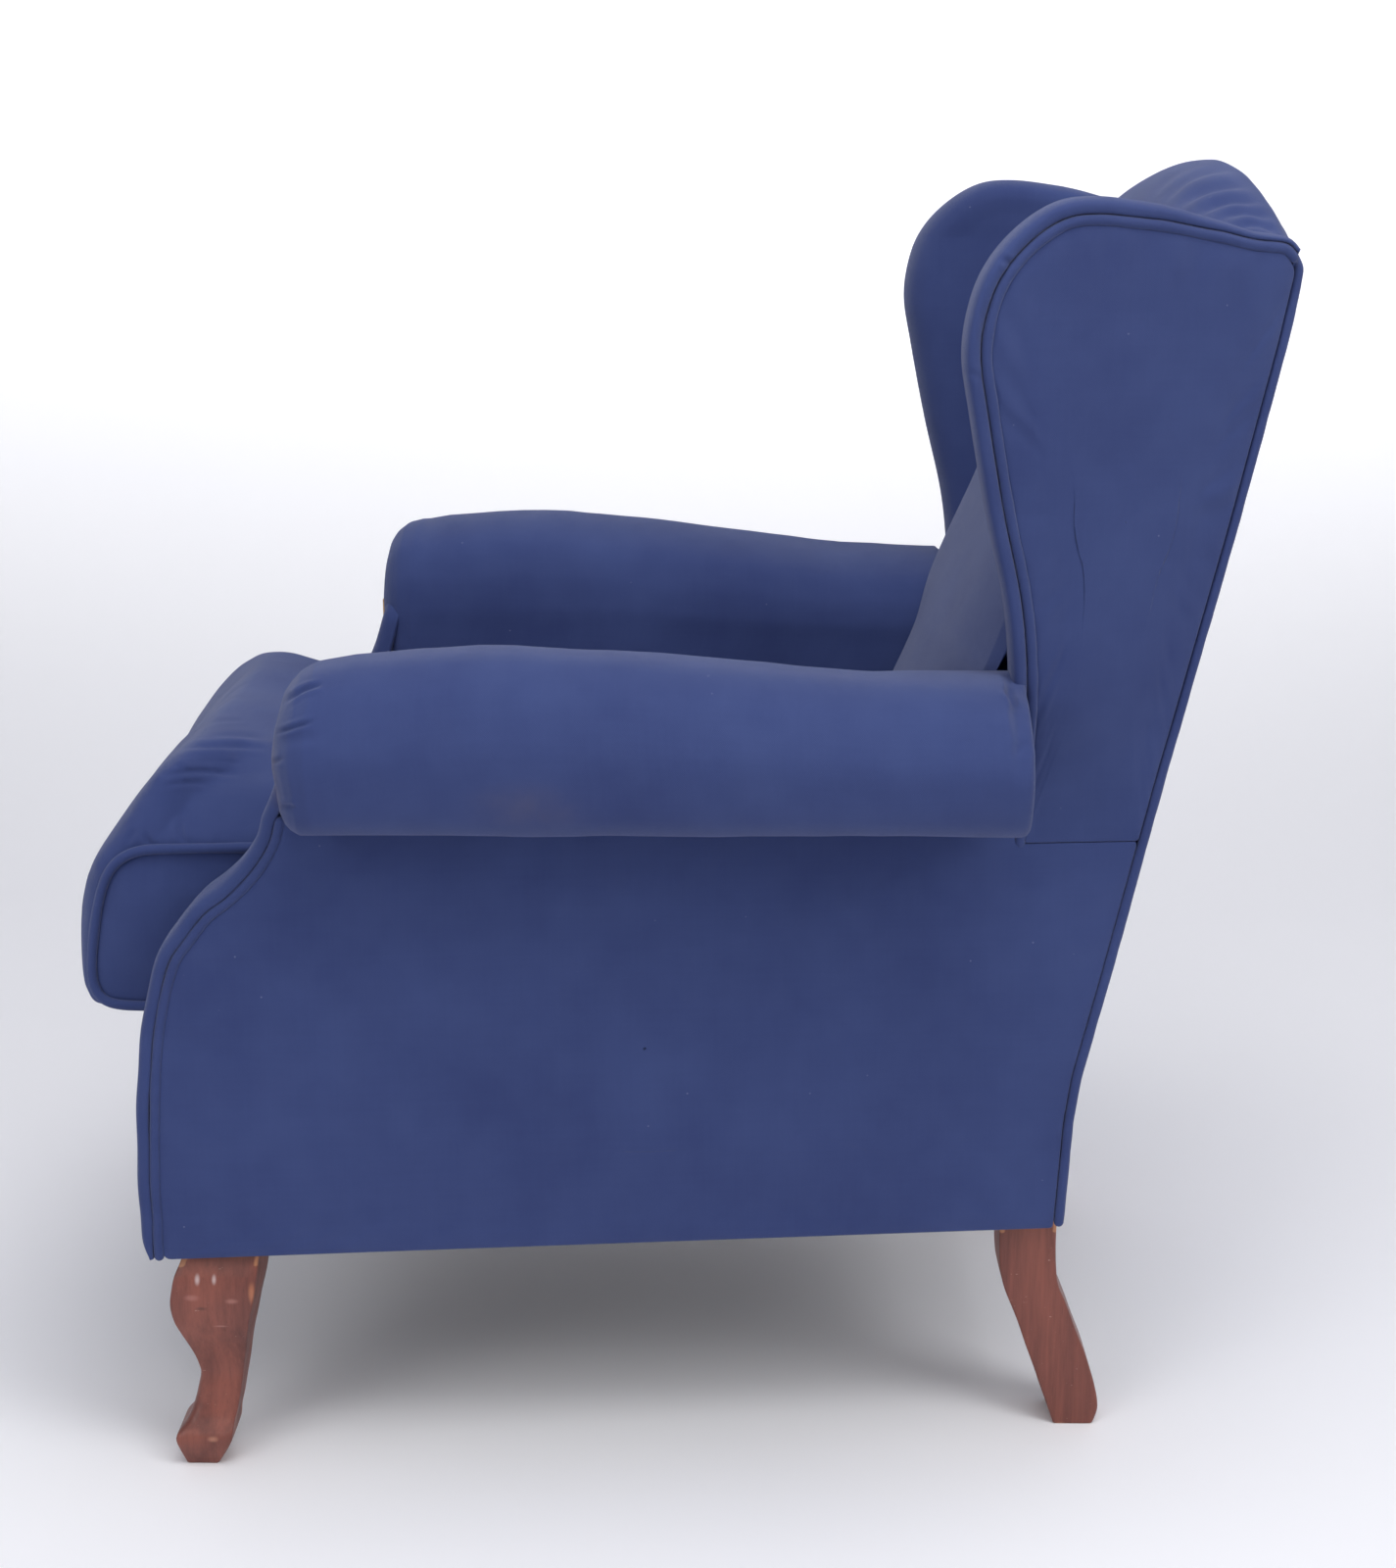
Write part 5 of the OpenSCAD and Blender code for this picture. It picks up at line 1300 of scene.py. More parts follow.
PUFF_VOXEL, PUFF_PRESSURE, PUFF_FRAMES, MOST_PUFF = 5.0, 12.0, 20, 8.0


def puffed(obj, held, cap):
    """Cloth blown up from inside: held(points) is 1 where it is sewn, cap(points) is how far it may go."""
    name = obj.name
    remesh = obj.modifiers.new("even faces", "REMESH")
    remesh.mode, remesh.voxel_size, remesh.use_smooth_shade = "VOXEL", PUFF_VOXEL * MM, True
    obj = plain_copy(obj, name)
    start = vertices_of(obj.data)
    grip = obj.vertex_groups.new(name="sewn")
    weights = np.clip(held(start / MM), 0, 1)
    for v in np.nonzero(weights > 0.02)[0]:
        grip.add([int(v)], float(weights[v]), "REPLACE")
    cloth = obj.modifiers.new("cloth", "CLOTH")
    cloth.settings.vertex_group_mass = "sewn"
    cloth.settings.use_pressure = True
    cloth.settings.uniform_pressure_force = PUFF_PRESSURE
    cloth.settings.effector_weights.gravity = 0
    cloth.settings.quality = 6
    cloth.settings.tension_stiffness = cloth.settings.compression_stiffness = 12
    cloth.settings.bending_stiffness = 0.8
    for f in range(1, PUFF_FRAMES + 1):
        bpy.context.scene.frame_set(f)
    obj = plain_copy(obj, name)
    bpy.context.scene.frame_set(1)
    end = vertices_of(obj.data)
    move = end - start
    far = np.linalg.norm(move, axis=1, keepdims=True)
    most = cap(start / MM)[:, None] * MM
    end = start + move * np.minimum(1, most / np.maximum(far, 1e-9))
    obj.data.vertices.foreach_set("co", end.ravel())
    print(name, "blown up by at most", (far.max() / MM).round(1), "mm")
    obj.data.update()
    return obj


def seam_distance(p):
    """Distance of points from the cushion's two side seams, in millimetres."""
    near = np.full(len(p), 1e9)
    folded = p * np.sign(p[:, :1]) ** [1, 0, 0]
    for q in side_seam()[::2]:
        near = np.minimum(near, ((folded - q) ** 2).sum(1))
    return np.sqrt(near)


cushion = skin("cushion_cover_cloth", cushion_rings(COVER_IN, CROWN - 4), weave="box")
cushion = puffed(cushion, lambda p: np.maximum(1 - seam_distance(p) / 9, 1.0 * (p[:, 2] < LOWER_WELT - 4)),
                 lambda p: np.where(p[:, 2] < LOWER_WELT, FIT, MOST_PUFF) * ease(seam_distance(p) / 40))
print("cushion:", len(cushion.data.vertices), "points")

# %% Cushion creases
CUSHION_CREASES = [
    ([[210, 753], [225, 750], [245, 750], [272, 753]], 2.2, 0.9),
    ([[176, 770], [191, 763], [215, 761], [245, 761], [275, 764]], 2.4, 1.7),
    ([[163, 794], [182, 789], [202, 787], [247, 790]], 2.4, 1.4),
    ([[163, 804], [180, 800], [202, 799], [214, 801]], 2.2, 1.0),
    ([[210, 737], [228, 735], [250, 735]], 1.7, 0.5),
    ([[200, 778], [222, 776], [250, 779]], 1.7, 0.4),
    ([[185, 836], [185, 850], [190, 862]], 2.6, 2.0),
    ([[150, 848], [151, 856], [155, 864]], 2.4, 1.5),
    ([[141, 846], [134, 854], [130, 862]], 2.4, 1.2),
    ([[222, 850], [221, 857], [223, 864]], 2.4, 0.9),
]
FAR_CORNER_FORWARD = 16.0  # millimetres


def fuller_far_corner(points):
    """Points with the cushion's far front corner brought forward, where the photo shows it fuller."""
    x, y, z = points.T
    share = ease((-x - 20) / 220) * ease((-y - 330) / 110) * ease((z - 400) / 60)
    return points - np.outer(share, [0, FAR_CORNER_FORWARD, 0])


calm = cushion.modifiers.new("calm cloth", "SMOOTH")
calm.factor, calm.iterations = 0.5, 8
smoothed(cushion)
cushion = plain_copy(cushion, "cushion_cover_cloth")
points = vertices_of(cushion.data) / MM
normals = np.empty(len(points) * 3)
cushion.data.vertices.foreach_get("normal", normals)
normals = normals.reshape(-1, 3)
points = pressed(points, CUSHION_CREASES, normals)
above = ease((points[:, 2] - UPPER_WELT + 10) / 30)[:, None]
points += normals * (waves(points, 130, 81) * 1.4)[:, None] * above
points[:, 2] = np.maximum(points[:, 2], CUSHION_LOW)
points = fuller_far_corner(points)
reshaped(cushion, points)
cushion.data.update()
box_map(cushion.data)
shade_smooth(cushion.data)
dressed(cushion, blue_cloth, "cushion", ["cushion_cover"])


# %% Cushion welts and core
def laid_on(obj, path, lift):
    """A closed path moved on to an object's surface, its middle that far above it."""
    for _ in range(3):
        moved = []
        for p in path:
            _, at, normal, _ = obj.closest_point_on_mesh(Vector(p * MM))
            moved.append(np.array(at) / MM + np.array(normal) * lift)
        path = np.array(moved)
        for _ in range(4):
            path = (np.roll(path, 1, 0) + 2 * path + np.roll(path, -1, 0)) / 4
    return path


WELT_LIFT, CORE_SCALE = 2.6, [0.955, 0.955, 0.86]
side_welt = welt("cushion_welt_cord_left", laid_on(cushion, side_seam(), WELT_LIFT), 82, endless=True)
side_welt_right = mirrored(side_welt, "cushion_welt_cord_right")
reshaped(side_welt_right, fuller_far_corner(vertices_of(side_welt_right.data) / MM))
dressed(smoothed(side_welt), blue_cloth, "cushion", ["cushion_welt_left"])
dressed(smoothed(side_welt_right), blue_cloth, "cushion", ["cushion_welt_right"])
middle = np.array([0, CUSHION_MID, CUSHION_LOW + 80])
core_rings = middle + (cushion_rings(COVER_IN, CROWN - 4) - middle) * CORE_SCALE
core_rings[:, :, 2] = np.maximum(core_rings[:, :, 2], CUSHION_LOW + 4)
core = skin("cushion_foam_core", core_rings, weave="box")
dressed(core, foam, "cushion", ["cushion_core"])


# %% [markdown]
# ## Deck, border and dust cover
# Under the cushion lies a foam deck pad with a plain lining over it, and a blue border closes the
# front below the cushion. A thin dust cover is tacked under the frame. They are soft boards with
# rounded edges, so one helper makes them all from an outline in plan.


# %% Soft boards
def slab_rings(outline, low, high, edge):
    """A padded board lying flat: an outline in plan between two heights, its edges rounded."""
    centre = outline.mean(0)
    rings = []
    for s in (0.05, 0.5, 0.9):
        rings.append((mix(centre, outline, s), low))
    for t in np.radians([0, 45, 90]):
        rings.append((inset(outline, edge * (1 - math.sin(t))), low + edge * (1 - math.cos(t))))
    for t in np.radians([0, 45, 90]):
        rings.append((inset(outline, edge * (1 - math.cos(t))), high - edge * (1 - math.sin(t))))
    for s in (0.93, 0.8, 0.6, 0.4, 0.2, 0.05):
        rings.append((mix(centre, inset(outline, edge), s), high))
    return np.array([np.stack([p[:, 0], p[:, 1], np.full(len(p), z)], 1) for p, z in rings])


def flat_cut(outline):
    """The width and length in metres that a cloth is cut from, and its area."""
    x, y = outline.T
    size = (outline.max(0) - outline.min(0)) * MM
    area = abs((x * np.roll(y, -1) - y * np.roll(x, -1)).sum()) / 2 * MM**2
    return tuple(float(v) for v in size), float(area)


RAIL_FRONT, RAIL_BACK, HESSIAN_LOW, DECK_PAD_LOW = -397.0, -372.0, 303.0, 304.2


def deck_outline():
    """The deck's cut: between the arms at the front, and out to the side rails behind."""
    rear = float(post_face(RAIL_TOP)) - FIT
    marks = [(RAIL_FRONT, ARM_IN), (RAIL_BACK, ARM_IN), (RAIL_BACK, TIMBER_IN), (rear, TIMBER_IN)]
    half = np.array([[side_in(y, depth + SOFT), y] for y, depth in marks])
    return evenly(np.vstack([half, half[::-1] * [-1, 1]]), 260, True)


outline = deck_outline()
deck_pad = skin("deck_pad_foam", slab_rings(outline, DECK_PAD_LOW, COVER_LOW, 3.0), weave="box")
dressed(deck_pad, foam, "chair", ["deck_pad"])
deck_cover = skin("deck_cover_lining", slab_rings(outline, COVER_LOW, DECK_TOP, 0.8), weave="box")
dressed(deck_cover, lining_cloth, "chair", ["deck_cover"])
hessian = skin("seat_hessian_cloth", slab_rings(outline, HESSIAN_LOW, DECK_PAD_LOW, 0.5), weave="box")
dressed(hessian, hessian_cloth, "chair", ["seat_hessian"])
cut, area = flat_cut(outline)


DUST_IN, DUST_FRONT, DUST_REAR, DUST_SAG = 26.3, -389.0, 299.1, 4.0
FRONT_LEG_CUT, REAR_LEG_CUT = (241.8, -318.8), (192.8, 265.8)


def dust_outline():
    """The dust cover's cut: it stops short of the four legs."""
    (front_x, front_y), (rear_x, rear_y) = FRONT_LEG_CUT, REAR_LEG_CUT
    half = np.array([[front_x, DUST_FRONT], [front_x, front_y], [side_in(front_y, DUST_IN), front_y],
                     [side_in(rear_y, DUST_IN), rear_y], [rear_x, rear_y], [rear_x, DUST_REAR]])
    return evenly(np.vstack([half, half[::-1] * [-1, 1]]), 400, True)


dust_rings = slab_rings(dust_outline(), BODY_LOW + 0.6, BODY_LOW + 1.9, 0.5)
dust_x, dust_y = dust_rings[:, :, 0] / 285, (dust_rings[:, :, 1] + 45) / 340
dust_rings[:, :, 2] -= DUST_SAG * np.clip(1 - dust_x**2, 0, 1) * np.clip(1 - dust_y**2, 0, 1)
dust_cover = skin("dust_cover_lining", dust_rings, weave="box")
dressed(dust_cover, lining_cloth, "chair", ["dust_cover"])
cut, area = flat_cut(dust_outline())


# %% [markdown]
# ## Webbing
# Bands of jute webbing carry the seat and the back. The seat's run lengthwise and crosswise, each
# passing over one and under the next, nailed to the rails at both ends. Each band is a thin section
# swept along a path that rises and dips where the others cross. The bands of one direction are
# joined as one object, because they replace one node.


# %% Webbing
STRAP_W, STRAP_T, STRAP_EDGE, WEB_H, WEB_RISE = 60.0, 1.8, 0.9, 301.0, 0.95


def strap(path, across):
    """A flat band along a path of points, its width in the direction given."""
    face = np.cross(tangents(path), across)
    half, up = STRAP_W / 2, STRAP_T / 2
    inner = np.linspace(-24, 24, 9)
    edge = [[-half, 0], [-half + STRAP_EDGE, up], *[[v, up] for v in inner], [half - STRAP_EDGE, up],
            [half, 0], [half - STRAP_EDGE, -up], *[[-v, -up] for v in inner], [-half + STRAP_EDGE, -up]]
    return skin("strap", np.stack([path + u * np.array(across) + v * face for u, v in edge], 1), weave="box")


def crossing(along, others, first):
    """How high a band lies where it passes over and under the others, -1 to 1."""
    return sum((-1) ** (first + k) * np.exp(-((along - at) / 30) ** 4) for k, at in enumerate(others))


def joined(name, pieces):
    """Several skins as one object."""
    with bpy.context.temp_override(active_object=pieces[0], selected_editable_objects=pieces):
        bpy.ops.object.join()
    pieces[0].name = pieces[0].data.name = name
    return pieces[0]


LENGTHWISE, CROSSWISE = [84.0 * i for i in range(-2, 3)], [-312.0 + 106.8 * i for i in range(6)]
WEB_FRONT, WEB_REAR, BACK_WEB_DEEP, BACK_WEB_HALF, BACK_WEB_TAPER = -391.0, 301.0, 58.0, 245.0, 0.0185
BACK_WEBS = [482.6, 639.5, 718.0, 796.4]
long_straps, cross_straps, back_straps, cross_area = [], [], [], 0.0
for i, x in enumerate(LENGTHWISE):
    y = np.linspace(WEB_FRONT, WEB_REAR, 140)
    z = WEB_H + WEB_RISE * crossing(y, CROSSWISE, i)
    long_straps.append(strap(np.stack([x + 0 * y, y, z], 1), [1.0, 0, 0]))
for j, y in enumerate(CROSSWISE):
    half = float(side_in(y + STRAP_W / 2, DUST_IN))
    x = np.linspace(-half, half, 120)
    z = WEB_H - WEB_RISE * crossing(x, LENGTHWISE, j)
    cross_straps.append(strap(np.stack([x, y + 0 * x, z], 1), [0, 1.0, 0]))
    cross_area += 2 * half * STRAP_W * MM**2
for z in BACK_WEBS:
    tilt = np.array([0, float(back_y(z + STRAP_W / 2) - back_y(z - STRAP_W / 2)), STRAP_W])
    half = BACK_WEB_HALF - (z - BACK_WEBS[0]) * BACK_WEB_TAPER
    x = np.linspace(-half, half, 40)
    place = np.stack([x, float(back_y(z)) - BACK_WEB_DEEP + 0 * x, z + 0 * x], 1)
    back_straps.append(strap(place, tilt / np.linalg.norm(tilt)))
# Each row: the bands, their node, the pieces that carry them, and their cut and area in metres.
for pieces, stem, carries, cut, area in (
        (long_straps, "seat_webbing_lengthwise", ["front_seat_rail", "rear_seat_rail"],
         (0.3, 0.692), 0.3 * 0.692),
        (cross_straps, "seat_webbing_crosswise", ["side_seat_rail_left", "side_seat_rail_right"],
         (0.36, 0.587), cross_area),
        (back_straps, "back_webbing", ["back_post_left", "back_post_right"],
         (0.24, 0.49), 0.24 * 0.484)):
    straps = joined(stem + "_straps", pieces)
    dressed(straps, jute_webbing, "chair", [stem])


# %% Front border
def border_rings():
    """The padded border across the front, below the cushion."""
    low, high, front, back = BODY_LOW, COVER_LOW, FRONT + 2, RAIL_FRONT - FIT
    section = evenly(spline([[back, low], [back - 6, low], [front + 3, low + 1.5], [front, low + 9],
                             [front - 0.5, 230], [front, 300], [front + 0.6, high - 12],
                             [front + 4, high - 3], [back - 5, high], [back, high]], 120), 60)
    rings = []
    for u in np.linspace(-1, 1, 90):
        rings.append([[u * (side_in(y, ARM_IN) - 0.5), y + 0.5 * math.sin(9 * u + z / 60), z]
                      for y, z in section])
    return let_down(np.array(rings))


border = skin("front_border_cloth", border_rings())
dressed(smoothed(border), blue_cloth, "chair", ["front_border"])


# %% [markdown]
# ## Legs
# The front legs are sawn in two directions from one square block, so every level of the leg is a
# rectangle: the same S shape shows from the front and from the side. The rear legs are sawn in one
# direction only. Each leg is a stack of such rectangles with their corners eased by sandpaper. How
# near a point lies to a corner is kept as an attribute, and the stain wears off there.


# %% Legs
KNEE_OUTER = np.array([[.18, 1], [.117, .927], [.051, .871], [.02, .82], [0, .745], [.03, .665], [.085, .605],
                       [.143, .549], [.21, .477], [.25, .412], [.246, .375], [.222, .337], [.173, .266],
                       [.104, .199], [.016, .158], [-.01, .115], [.085, 0]])
KNEE_INNER = np.array([[.45, 0], [.54, .06], [.625, .123], [.648, .188], [.688, .251], [.736, .365],
                       [.81, .529], [.875, .651], [.935, .743], [.98, .845], [1.01, .947], [1.02, 1]])
REAR_FRONT = np.array([[0, 1], [.02, .79], [.1, .66], [.32, .52], [.58, .34], [.83, .165], [1.06, 0]])
REAR_REAR = np.array([[1.75, 0], [1.84, .08], [1.75, .2], [1.61, .31], [1.4, .45], [1.2, .58], [1.06, .66],
                      [1.01, .75], [1, 1]])


def eased_rectangle(x0, x1, y0, y1, radii):
    """A rectangle with round corners, and how near each point is to a corner, 0 to 1."""
    steps, rounds = 4, []
    corners = [(x1, y1, -1, -1, 0), (x0, y1, 1, -1, 90), (x0, y0, 1, 1, 180), (x1, y0, -1, 1, 270)]
    for (cx, cy, wx, wy, start), r in zip(corners, radii):
        rounds += [np.array([cx + wx * r + r * math.cos(a), cy + wy * r + r * math.sin(a)])
                   for a in np.radians(start + np.linspace(0, 90, steps + 1))]
    points, near = [], []
    for k, p in enumerate(rounds):
        points.append(p)
        near.append(1.0)
        if k % (steps + 1) == steps:
            after = rounds[(k + 1) % len(rounds)]
            for s in (0.08, 0.3, 0.5, 0.7, 0.92):
                points.append(mix(p, after, s))
                near.append(0.0 if 0.1 < s < 0.9 else 0.45)
    return np.array(points), np.array(near)


LEG_ROUND = 2.0


def leg(name, levels, sides_at, bevel, seed):
    """A leg from its rectangles: sides_at(z) gives x0, x1, y0, y1.

    Its outer front corner is rounder than the others by bevel(z).
    """
    rings, worn = [], []
    for k, z in enumerate(levels):
        shape, near = eased_rectangle(*sides_at(z), (LEG_ROUND, LEG_ROUND, LEG_ROUND, LEG_ROUND + bevel(z)))
        if k == 0:
            shape = mix(shape.mean(0), shape, 0.965)
        rings.append(np.column_stack([shape, np.full(len(shape), z)]))
        worn.append(np.maximum(near * (0.5 + 0.5 * (z > 172)), 0.7 * math.exp(-(z / 5) ** 2)))
    rings = np.array(rings)
    points = rings.reshape(-1, 3)
    points[:, :2] += (waves(points, 40, seed) * 0.2)[:, None]
    obj = skin(name, rings, weave="box")
    obj.data.attributes.new("worn", "FLOAT", "POINT").data.foreach_set("value", np.array(worn).ravel())
    return obj


def sawn(table):
    """Distance along the sawn line at a height, both as shares."""
    line = spline(table, 160)
    line = line[np.argsort(line[:, 1])]
    return lambda share: float(np.interp(share, line[:, 1], line[:, 0]))


outer_line, inner_line = sawn(KNEE_OUTER), sawn(KNEE_INNER)
rear_front, rear_back = sawn(REAR_FRONT), sawn(REAR_REAR)


KNEE_SIZE, KNEE_X, REAR_LEG_X, REAR_LEG_W, REAR_LEG_Y, REAR_LEG_D = 70.0, 320.0, 239.0, 45.0, 267.0, 47.0


def front_leg_sides(z):
    """The front leg is the same from the side and from the front, as it is sawn in two directions."""
    near, far = outer_line(z / FRAME_LOW) * KNEE_SIZE, inner_line(z / FRAME_LOW) * KNEE_SIZE
    return KNEE_X - far, KNEE_X - near, near + RAIL_FRONT, far + RAIL_FRONT


def rear_leg_sides(z):
    """The rear leg is raked in side view and straight from behind."""
    front, back = (REAR_LEG_Y + REAR_LEG_D * line(z / FRAME_LOW) for line in (rear_front, rear_back))
    return REAR_LEG_X - REAR_LEG_W, REAR_LEG_X, front, back


leg_levels = np.concatenate([[0.0, 0.8], np.linspace(2.5, FRAME_LOW - 0.2, 84)])
for stem, sides_at, cut, seed in (("front_leg", front_leg_sides, 6.0, 91),
                                  ("rear_leg", rear_leg_sides, 0.0, 92)):
    left = leg(stem + "_wood_left", leg_levels, sides_at,
               lambda z: cut * math.sin(math.pi * min(1, max(0, (z - 24) / 56))), seed)
    other = mirrored(left, stem + "_wood_right")
    for piece, side in ((left, "left"), (other, "right")):
        dressed(piece, mahogany, "chair", [stem + "_" + side])

# %% [markdown]
# ## Zip, tacks and stitches
# Small things that repeat come from one group of geometry nodes: it puts a rounded bead of a given
# size at each point, turned as the point's own attribute says. Its result is made plain at once.
# The zip's teeth, the dust cover's tacks and the slip stitches of the outside back use it.


# %% Rows of beads
def make_beads():
    tree = bpy.data.node_groups.new("row of beads", "GeometryNodeTree")
    for label, kind in (("Points", "Geometry"), ("Size", "Vector"), ("Finish", "Material")):
        tree.interface.new_socket(name=label, in_out="INPUT", socket_type="NodeSocket" + kind)
    tree.interface.new_socket(name="Beads", in_out="OUTPUT", socket_type="NodeSocketGeometry")
    given, out = tree.nodes.new("NodeGroupInput").outputs, tree.nodes.new("NodeGroupOutput").inputs
    bead = node(tree, "GeometryNodeMeshUVSphere", {"Segments": 12, "Rings": 8, "Radius": 0.5}).outputs[0]
    turn = node(tree, "GeometryNodeInputNamedAttribute", {"Name": "turn"},
                data_type="FLOAT_VECTOR").outputs[0]
    copies = node(tree, "GeometryNodeInstanceOnPoints", {
        "Points": given["Points"], "Instance": bead, "Rotation": turn, "Scale": given["Size"]}).outputs[0]
    real = node(tree, "GeometryNodeRealizeInstances", {"Geometry": copies}).outputs[0]
    finished = node(tree, "GeometryNodeSetMaterial", {"Geometry": real, "Material": given["Finish"]})
    tree.links.new(finished.outputs[0], out["Beads"])
    return tree


bead_group = make_beads()


def beads(name, places, turns, size, finish, body, nodes=()):
    """A bead at each place, in millimetres, as one dressed piece."""
    mesh = bpy.data.meshes.new(name)
    mesh.from_pydata((np.asarray(places, float) * MM).tolist(), [], [])
    turn = mesh.attributes.new("turn", "FLOAT_VECTOR", "POINT")
    turn.data.foreach_set("vector", np.asarray(turns, float).ravel())
    obj = new_object(name, mesh)
    row = obj.modifiers.new("row of beads", "NODES")
    row.node_group = bead_group
    for item in bead_group.interface.items_tree:
        if item.name == "Size":
            row[item.identifier] = [v * MM for v in size]
        elif item.name == "Finish":
            row[item.identifier] = finish
    obj = plain_copy(obj, name)
    shade_smooth(obj.data)
    box_map(obj.data)
    return dressed(obj, finish, body, nodes)


# %% Zip
ZIP_HALF, ZIP_Y, ZIP_Z = 130.0, 134.0, 431.8
TAPE_SECTION = [(-11, 0), (-10.6, 0.5), (-5, 0.6), (0, 0.7), (5, 0.6), (10.6, 0.5), (11, 0), (10.6, -0.5),
                (0, -0.5), (-10.6, -0.5)]
zip_x = np.linspace(-ZIP_HALF, ZIP_HALF, 80)
tape_at = np.stack([zip_x, ZIP_Y + 0 * zip_x, ZIP_Z + 0.3 * np.sin(zip_x / 17)], 1)
tape = skin("zip_tape", np.stack([tape_at + [0, v, u] for u, v in TAPE_SECTION], 1), weave="box")
dressed(tape, lining_cloth, "cushion", ["cushion_zip"])
tooth = np.arange(-125, 107, 1.9)
beads("zip_teeth", [[x, ZIP_Y + 1, ZIP_Z + (1.1 if k % 2 else -1.1)] for k, x in enumerate(tooth)],
      [[0, 0, 0]] * len(tooth), (1.5, 1.6, 3.6), zinc, "cushion")


def lump(name, places, radii):
    """A rounded body through a row of places, with its half sizes at each, along x."""
    turn = np.linspace(0, 2 * np.pi, 20, endpoint=False)
    rings = [[[x, y + b * sharp(math.sin(a), 0.5), z + c * sharp(math.cos(a), 0.5)] for a in turn]
             for (x, y, z), (b, c) in zip(places, radii)]
    return skin(name, rings, weave="box")


slider = lump("slider", [[x, ZIP_Y + 1.9, ZIP_Z] for x in (107.8, 108.3, 110, 113, 116, 118.4, 119)],
              [(0.5, 1.5), (1.0, 2.8), (1.3, 3.6), (1.3, 3.7), (1.3, 3.2), (1.0, 2.2), (0.5, 1.2)])
pull = lump("pull", [[x, ZIP_Y + 3.4, ZIP_Z] for x in (95, 95.6, 98, 102, 106, 110, 112.5, 113)],
            [(0.2, 1.2), (0.45, 2.0), (0.5, 2.3), (0.5, 1.9), (0.5, 1.6), (0.5, 1.5), (0.45, 1.3), (0.2, 0.8)])
dressed(joined("zip_slider_body", [slider, pull]), zinc, "cushion", ["zip_slider"])

# %% Tacks and stitches
TACK_Z, TACK_PITCH, TACK_SIDES = BODY_LOW + 0.1, 70.0, np.linspace(-302.5, 220, 9)
tacks = [[way * side_in(y, 24.7), y, TACK_Z] for y in TACK_SIDES for way in (-1, 1)]
tacks += [[TACK_PITCH * i, DUST_FRONT + 8, TACK_Z] for i in range(-3, 4)]
tacks += [[TACK_PITCH * i, DUST_REAR - 8, TACK_Z] for i in range(-2, 3)]
beads("dust_cover_tack_heads", tacks, [[0, 0, 0]] * len(tacks), (8.0, 8.0, 2.2), zinc, "chair",
      ["dust_cover_tacks"])
thread = woven_material("blue thread", (34, 42, 84), (54, 66, 112), 2500, 0.1, 0.3, bump=0.0001)
stitch_z = np.arange(BODY_LOW + 12, CORNER_H - 44, 8.5)
stitches, turns = [], []
for way in (-1, 1):
    for z in stitch_z:
        lean = math.atan2(float(back_y(z + 5) - back_y(z - 5)), 10)
        stitches.append([way * (side_x(back_y(z)) - WELT_D - 0.6), float(back_y(z)) - 1.6, z])
        turns.append([-lean, 0, 0])
beads("slip_stitches", stitches, turns, (0.9, 0.9, 4.6), thread, "chair")

# %% [markdown]
# ## The inner frame's finish
# Rails, posts, dowels and bolts are the frame's own solids. Their shapes stay, and here they get
# raw beech and zinc. Each solid takes the finish of its material slot, so none is left plain.

# %% Finish the solids that stay
SLOT_FINISH = {"frame_timber": beech, "webbing": jute_webbing, "hessian": hessian_cloth, "lining": lining_cloth,
               "steel": zinc, "foam": foam, "stained_wood": mahogany, "blue_cloth": blue_cloth}
for part in frame["record"]["subparts"]:
    solid = frame["nodes"][part["node"]]
    finish = SLOT_FINISH[part["material_slot"]]
    if not solid.data.materials:
        solid.data.materials.append(finish)
    for place in solid.material_slots:
        place.link = "OBJECT"
        place.material = finish

# %% [markdown]
# ## Floor, backdrop and light
# The photograph has a white paper sweep and soft lamps. A floor that curves up into a wall keeps
# the shadow and hides the horizon. The wall glows a little towards its top. The glow is for camera,
# glossy and transmission rays only, so it shows as a background and in reflections and lights
# nothing else. The world gives an even light, and three large lamps add shape.


# %% Paper sweep
PAPER_LOW, PAPER_HIGH, PAPER_GLOW = (243, 243, 247), (247, 247, 250), 0.34


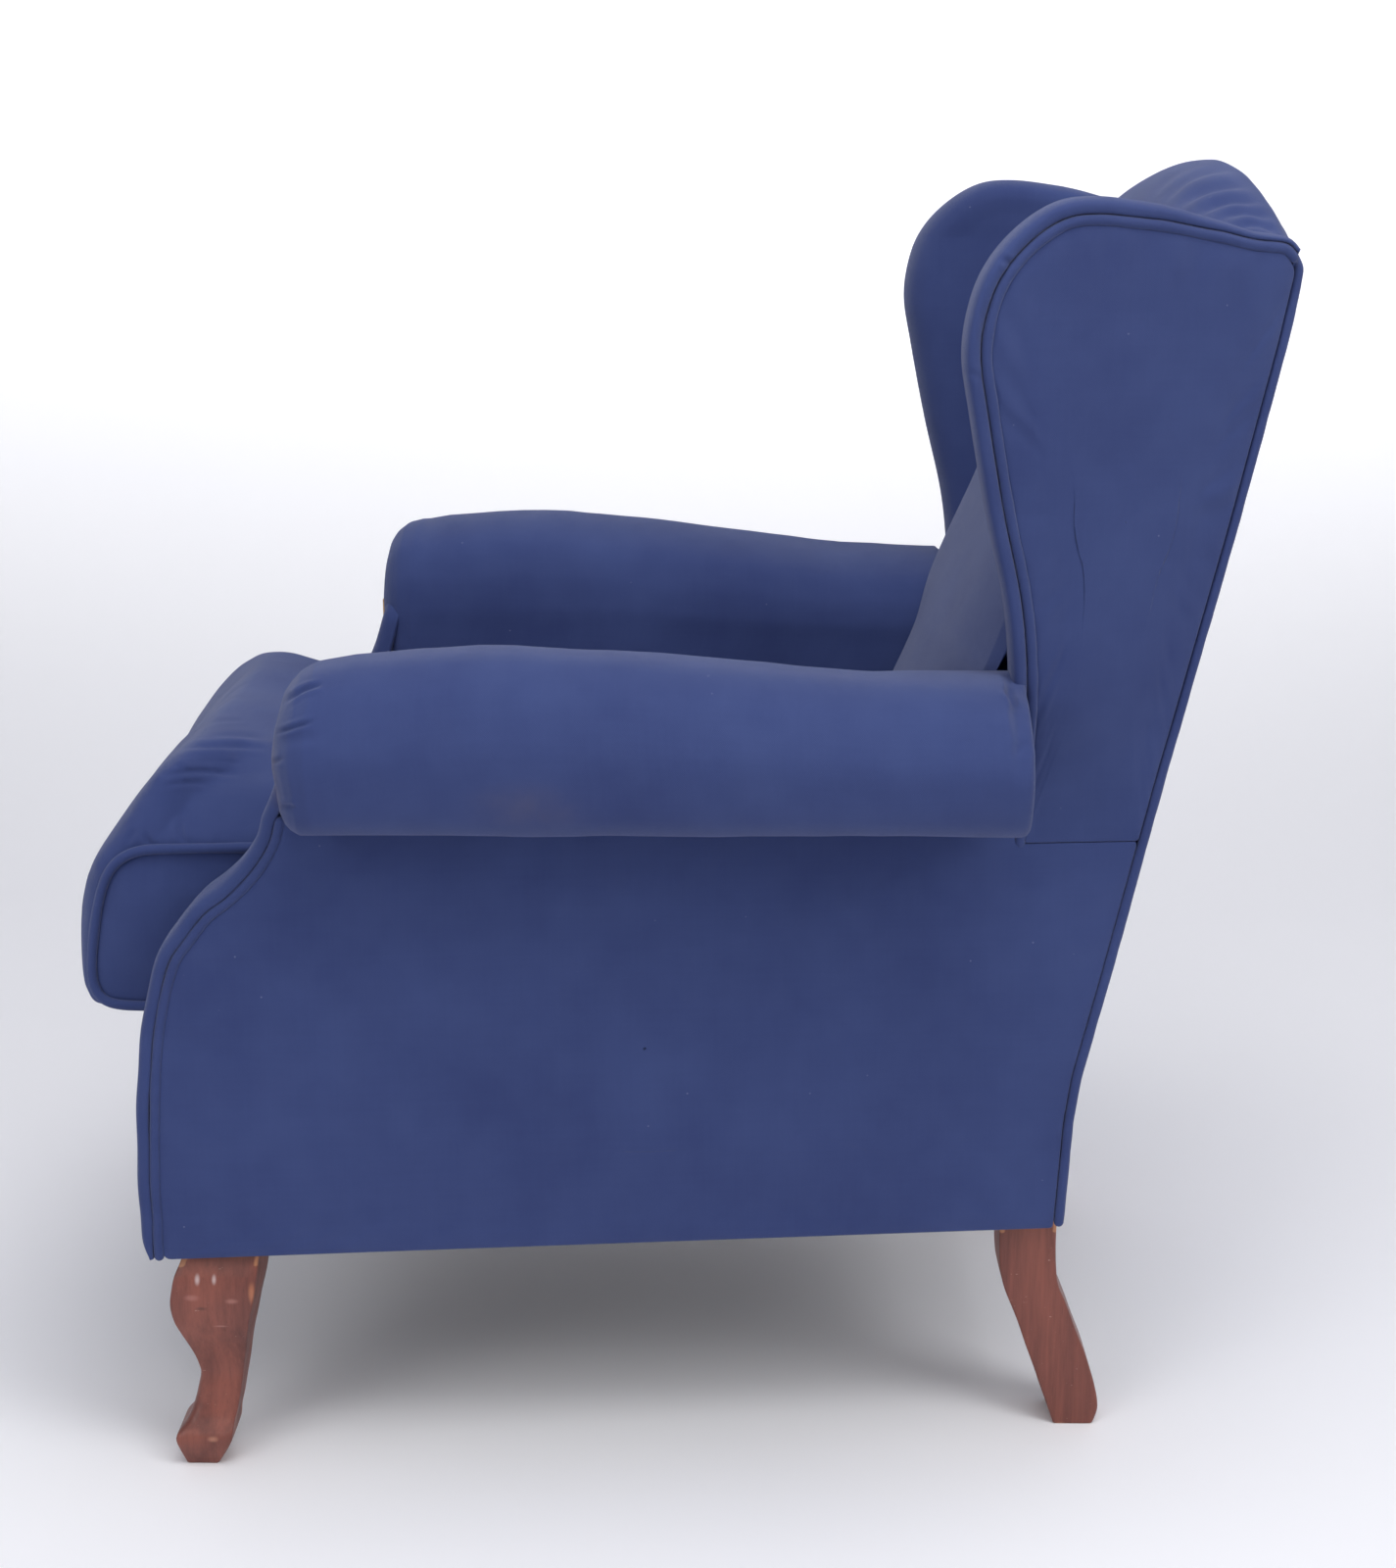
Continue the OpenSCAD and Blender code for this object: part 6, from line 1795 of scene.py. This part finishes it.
def paper_sweep():
    """White paper: a floor that curves up to a wall, one metre round, in metres."""
    profile = [[3.5 - 0.25 * k, 0.0] for k in range(20)]
    edge = profile[-1][0]
    profile += [[edge - 1.0 * math.sin(a), 1.0 - math.cos(a)] for a in np.radians(np.arange(6, 91, 6))]
    profile += [[profile[-1][0], z] for z in (1.5, 2.5, 4.0, 6.0)]
    verts = [(x, y, z) for x, z in profile for y in (-5.0, 5.0)]
    faces = [(2 * k, 2 * k + 1, 2 * k + 3, 2 * k + 2) for k in range(len(profile) - 1)]
    mesh = bpy.data.meshes.new("paper sweep")
    mesh.from_pydata(verts, [], faces)
    shade_smooth(mesh)
    obj = new_object("paper_sweep", mesh)
    material, tree, shader = new_material("white paper")
    place = node(tree, "ShaderNodeTexCoord").outputs["Object"]
    cloud = node(tree, "ShaderNodeTexNoise", {"Vector": place, "Scale": 1.2}).outputs[0]
    paper = blend_colour(tree, cloud, linear(PAPER_LOW), linear(PAPER_HIGH))
    tree.links.new(paper, shader.inputs["Base Color"])
    ray = node(tree, "ShaderNodeLightPath").outputs
    seen = maths(tree, "MAXIMUM", ray["Is Camera Ray"],
                 maths(tree, "MAXIMUM", ray["Is Glossy Ray"], ray["Is Transmission Ray"]))
    height = node(tree, "ShaderNodeSeparateXYZ", {0: place}).outputs[2]
    glow = maths(tree, "MULTIPLY", seen, stepped(tree, height, 0.0, 0.8, 0.0, PAPER_GLOW))
    shader.inputs["Emission Color"].default_value = (1.0, 1.0, 1.0, 1.0)
    tree.links.new(glow, shader.inputs["Emission Strength"])
    shader.inputs["Roughness"].default_value = 0.9
    mesh.materials.append(material)
    return obj


paper_sweep()


def soft_lamp(name, place, aim, size, power):
    """A square lamp, its side in metres and its power in watts, turned towards a place."""
    data = bpy.data.lights.new(name, "AREA")
    data.shape, data.size, data.energy = "SQUARE", size, power
    lamp = new_object(name, data)
    lamp.location = place
    lamp.rotation_euler = (Vector(aim) - Vector(place)).to_track_quat("-Z", "Y").to_euler()


soft_lamp("top lamp", (0.9, 0.2, 3.0), (0.3, 0, 0.2), 2.0, 46)
soft_lamp("front lamp", (2.7, -2.0, 1.8), (0, 0, 0.5), 1.8, 26)
soft_lamp("rear lamp", (2.0, 2.3, 2.7), (0, 0.2, 0.6), 1.6, 34)
world = bpy.data.worlds.new("even light")
world.use_nodes = True
sky = world.node_tree.nodes["Background"].inputs
sky["Color"].default_value, sky["Strength"].default_value = (0.93, 0.94, 1.0, 1.0), 0.38
bpy.context.scene.world = world
bpy.context.scene.view_settings.view_transform = "Standard"
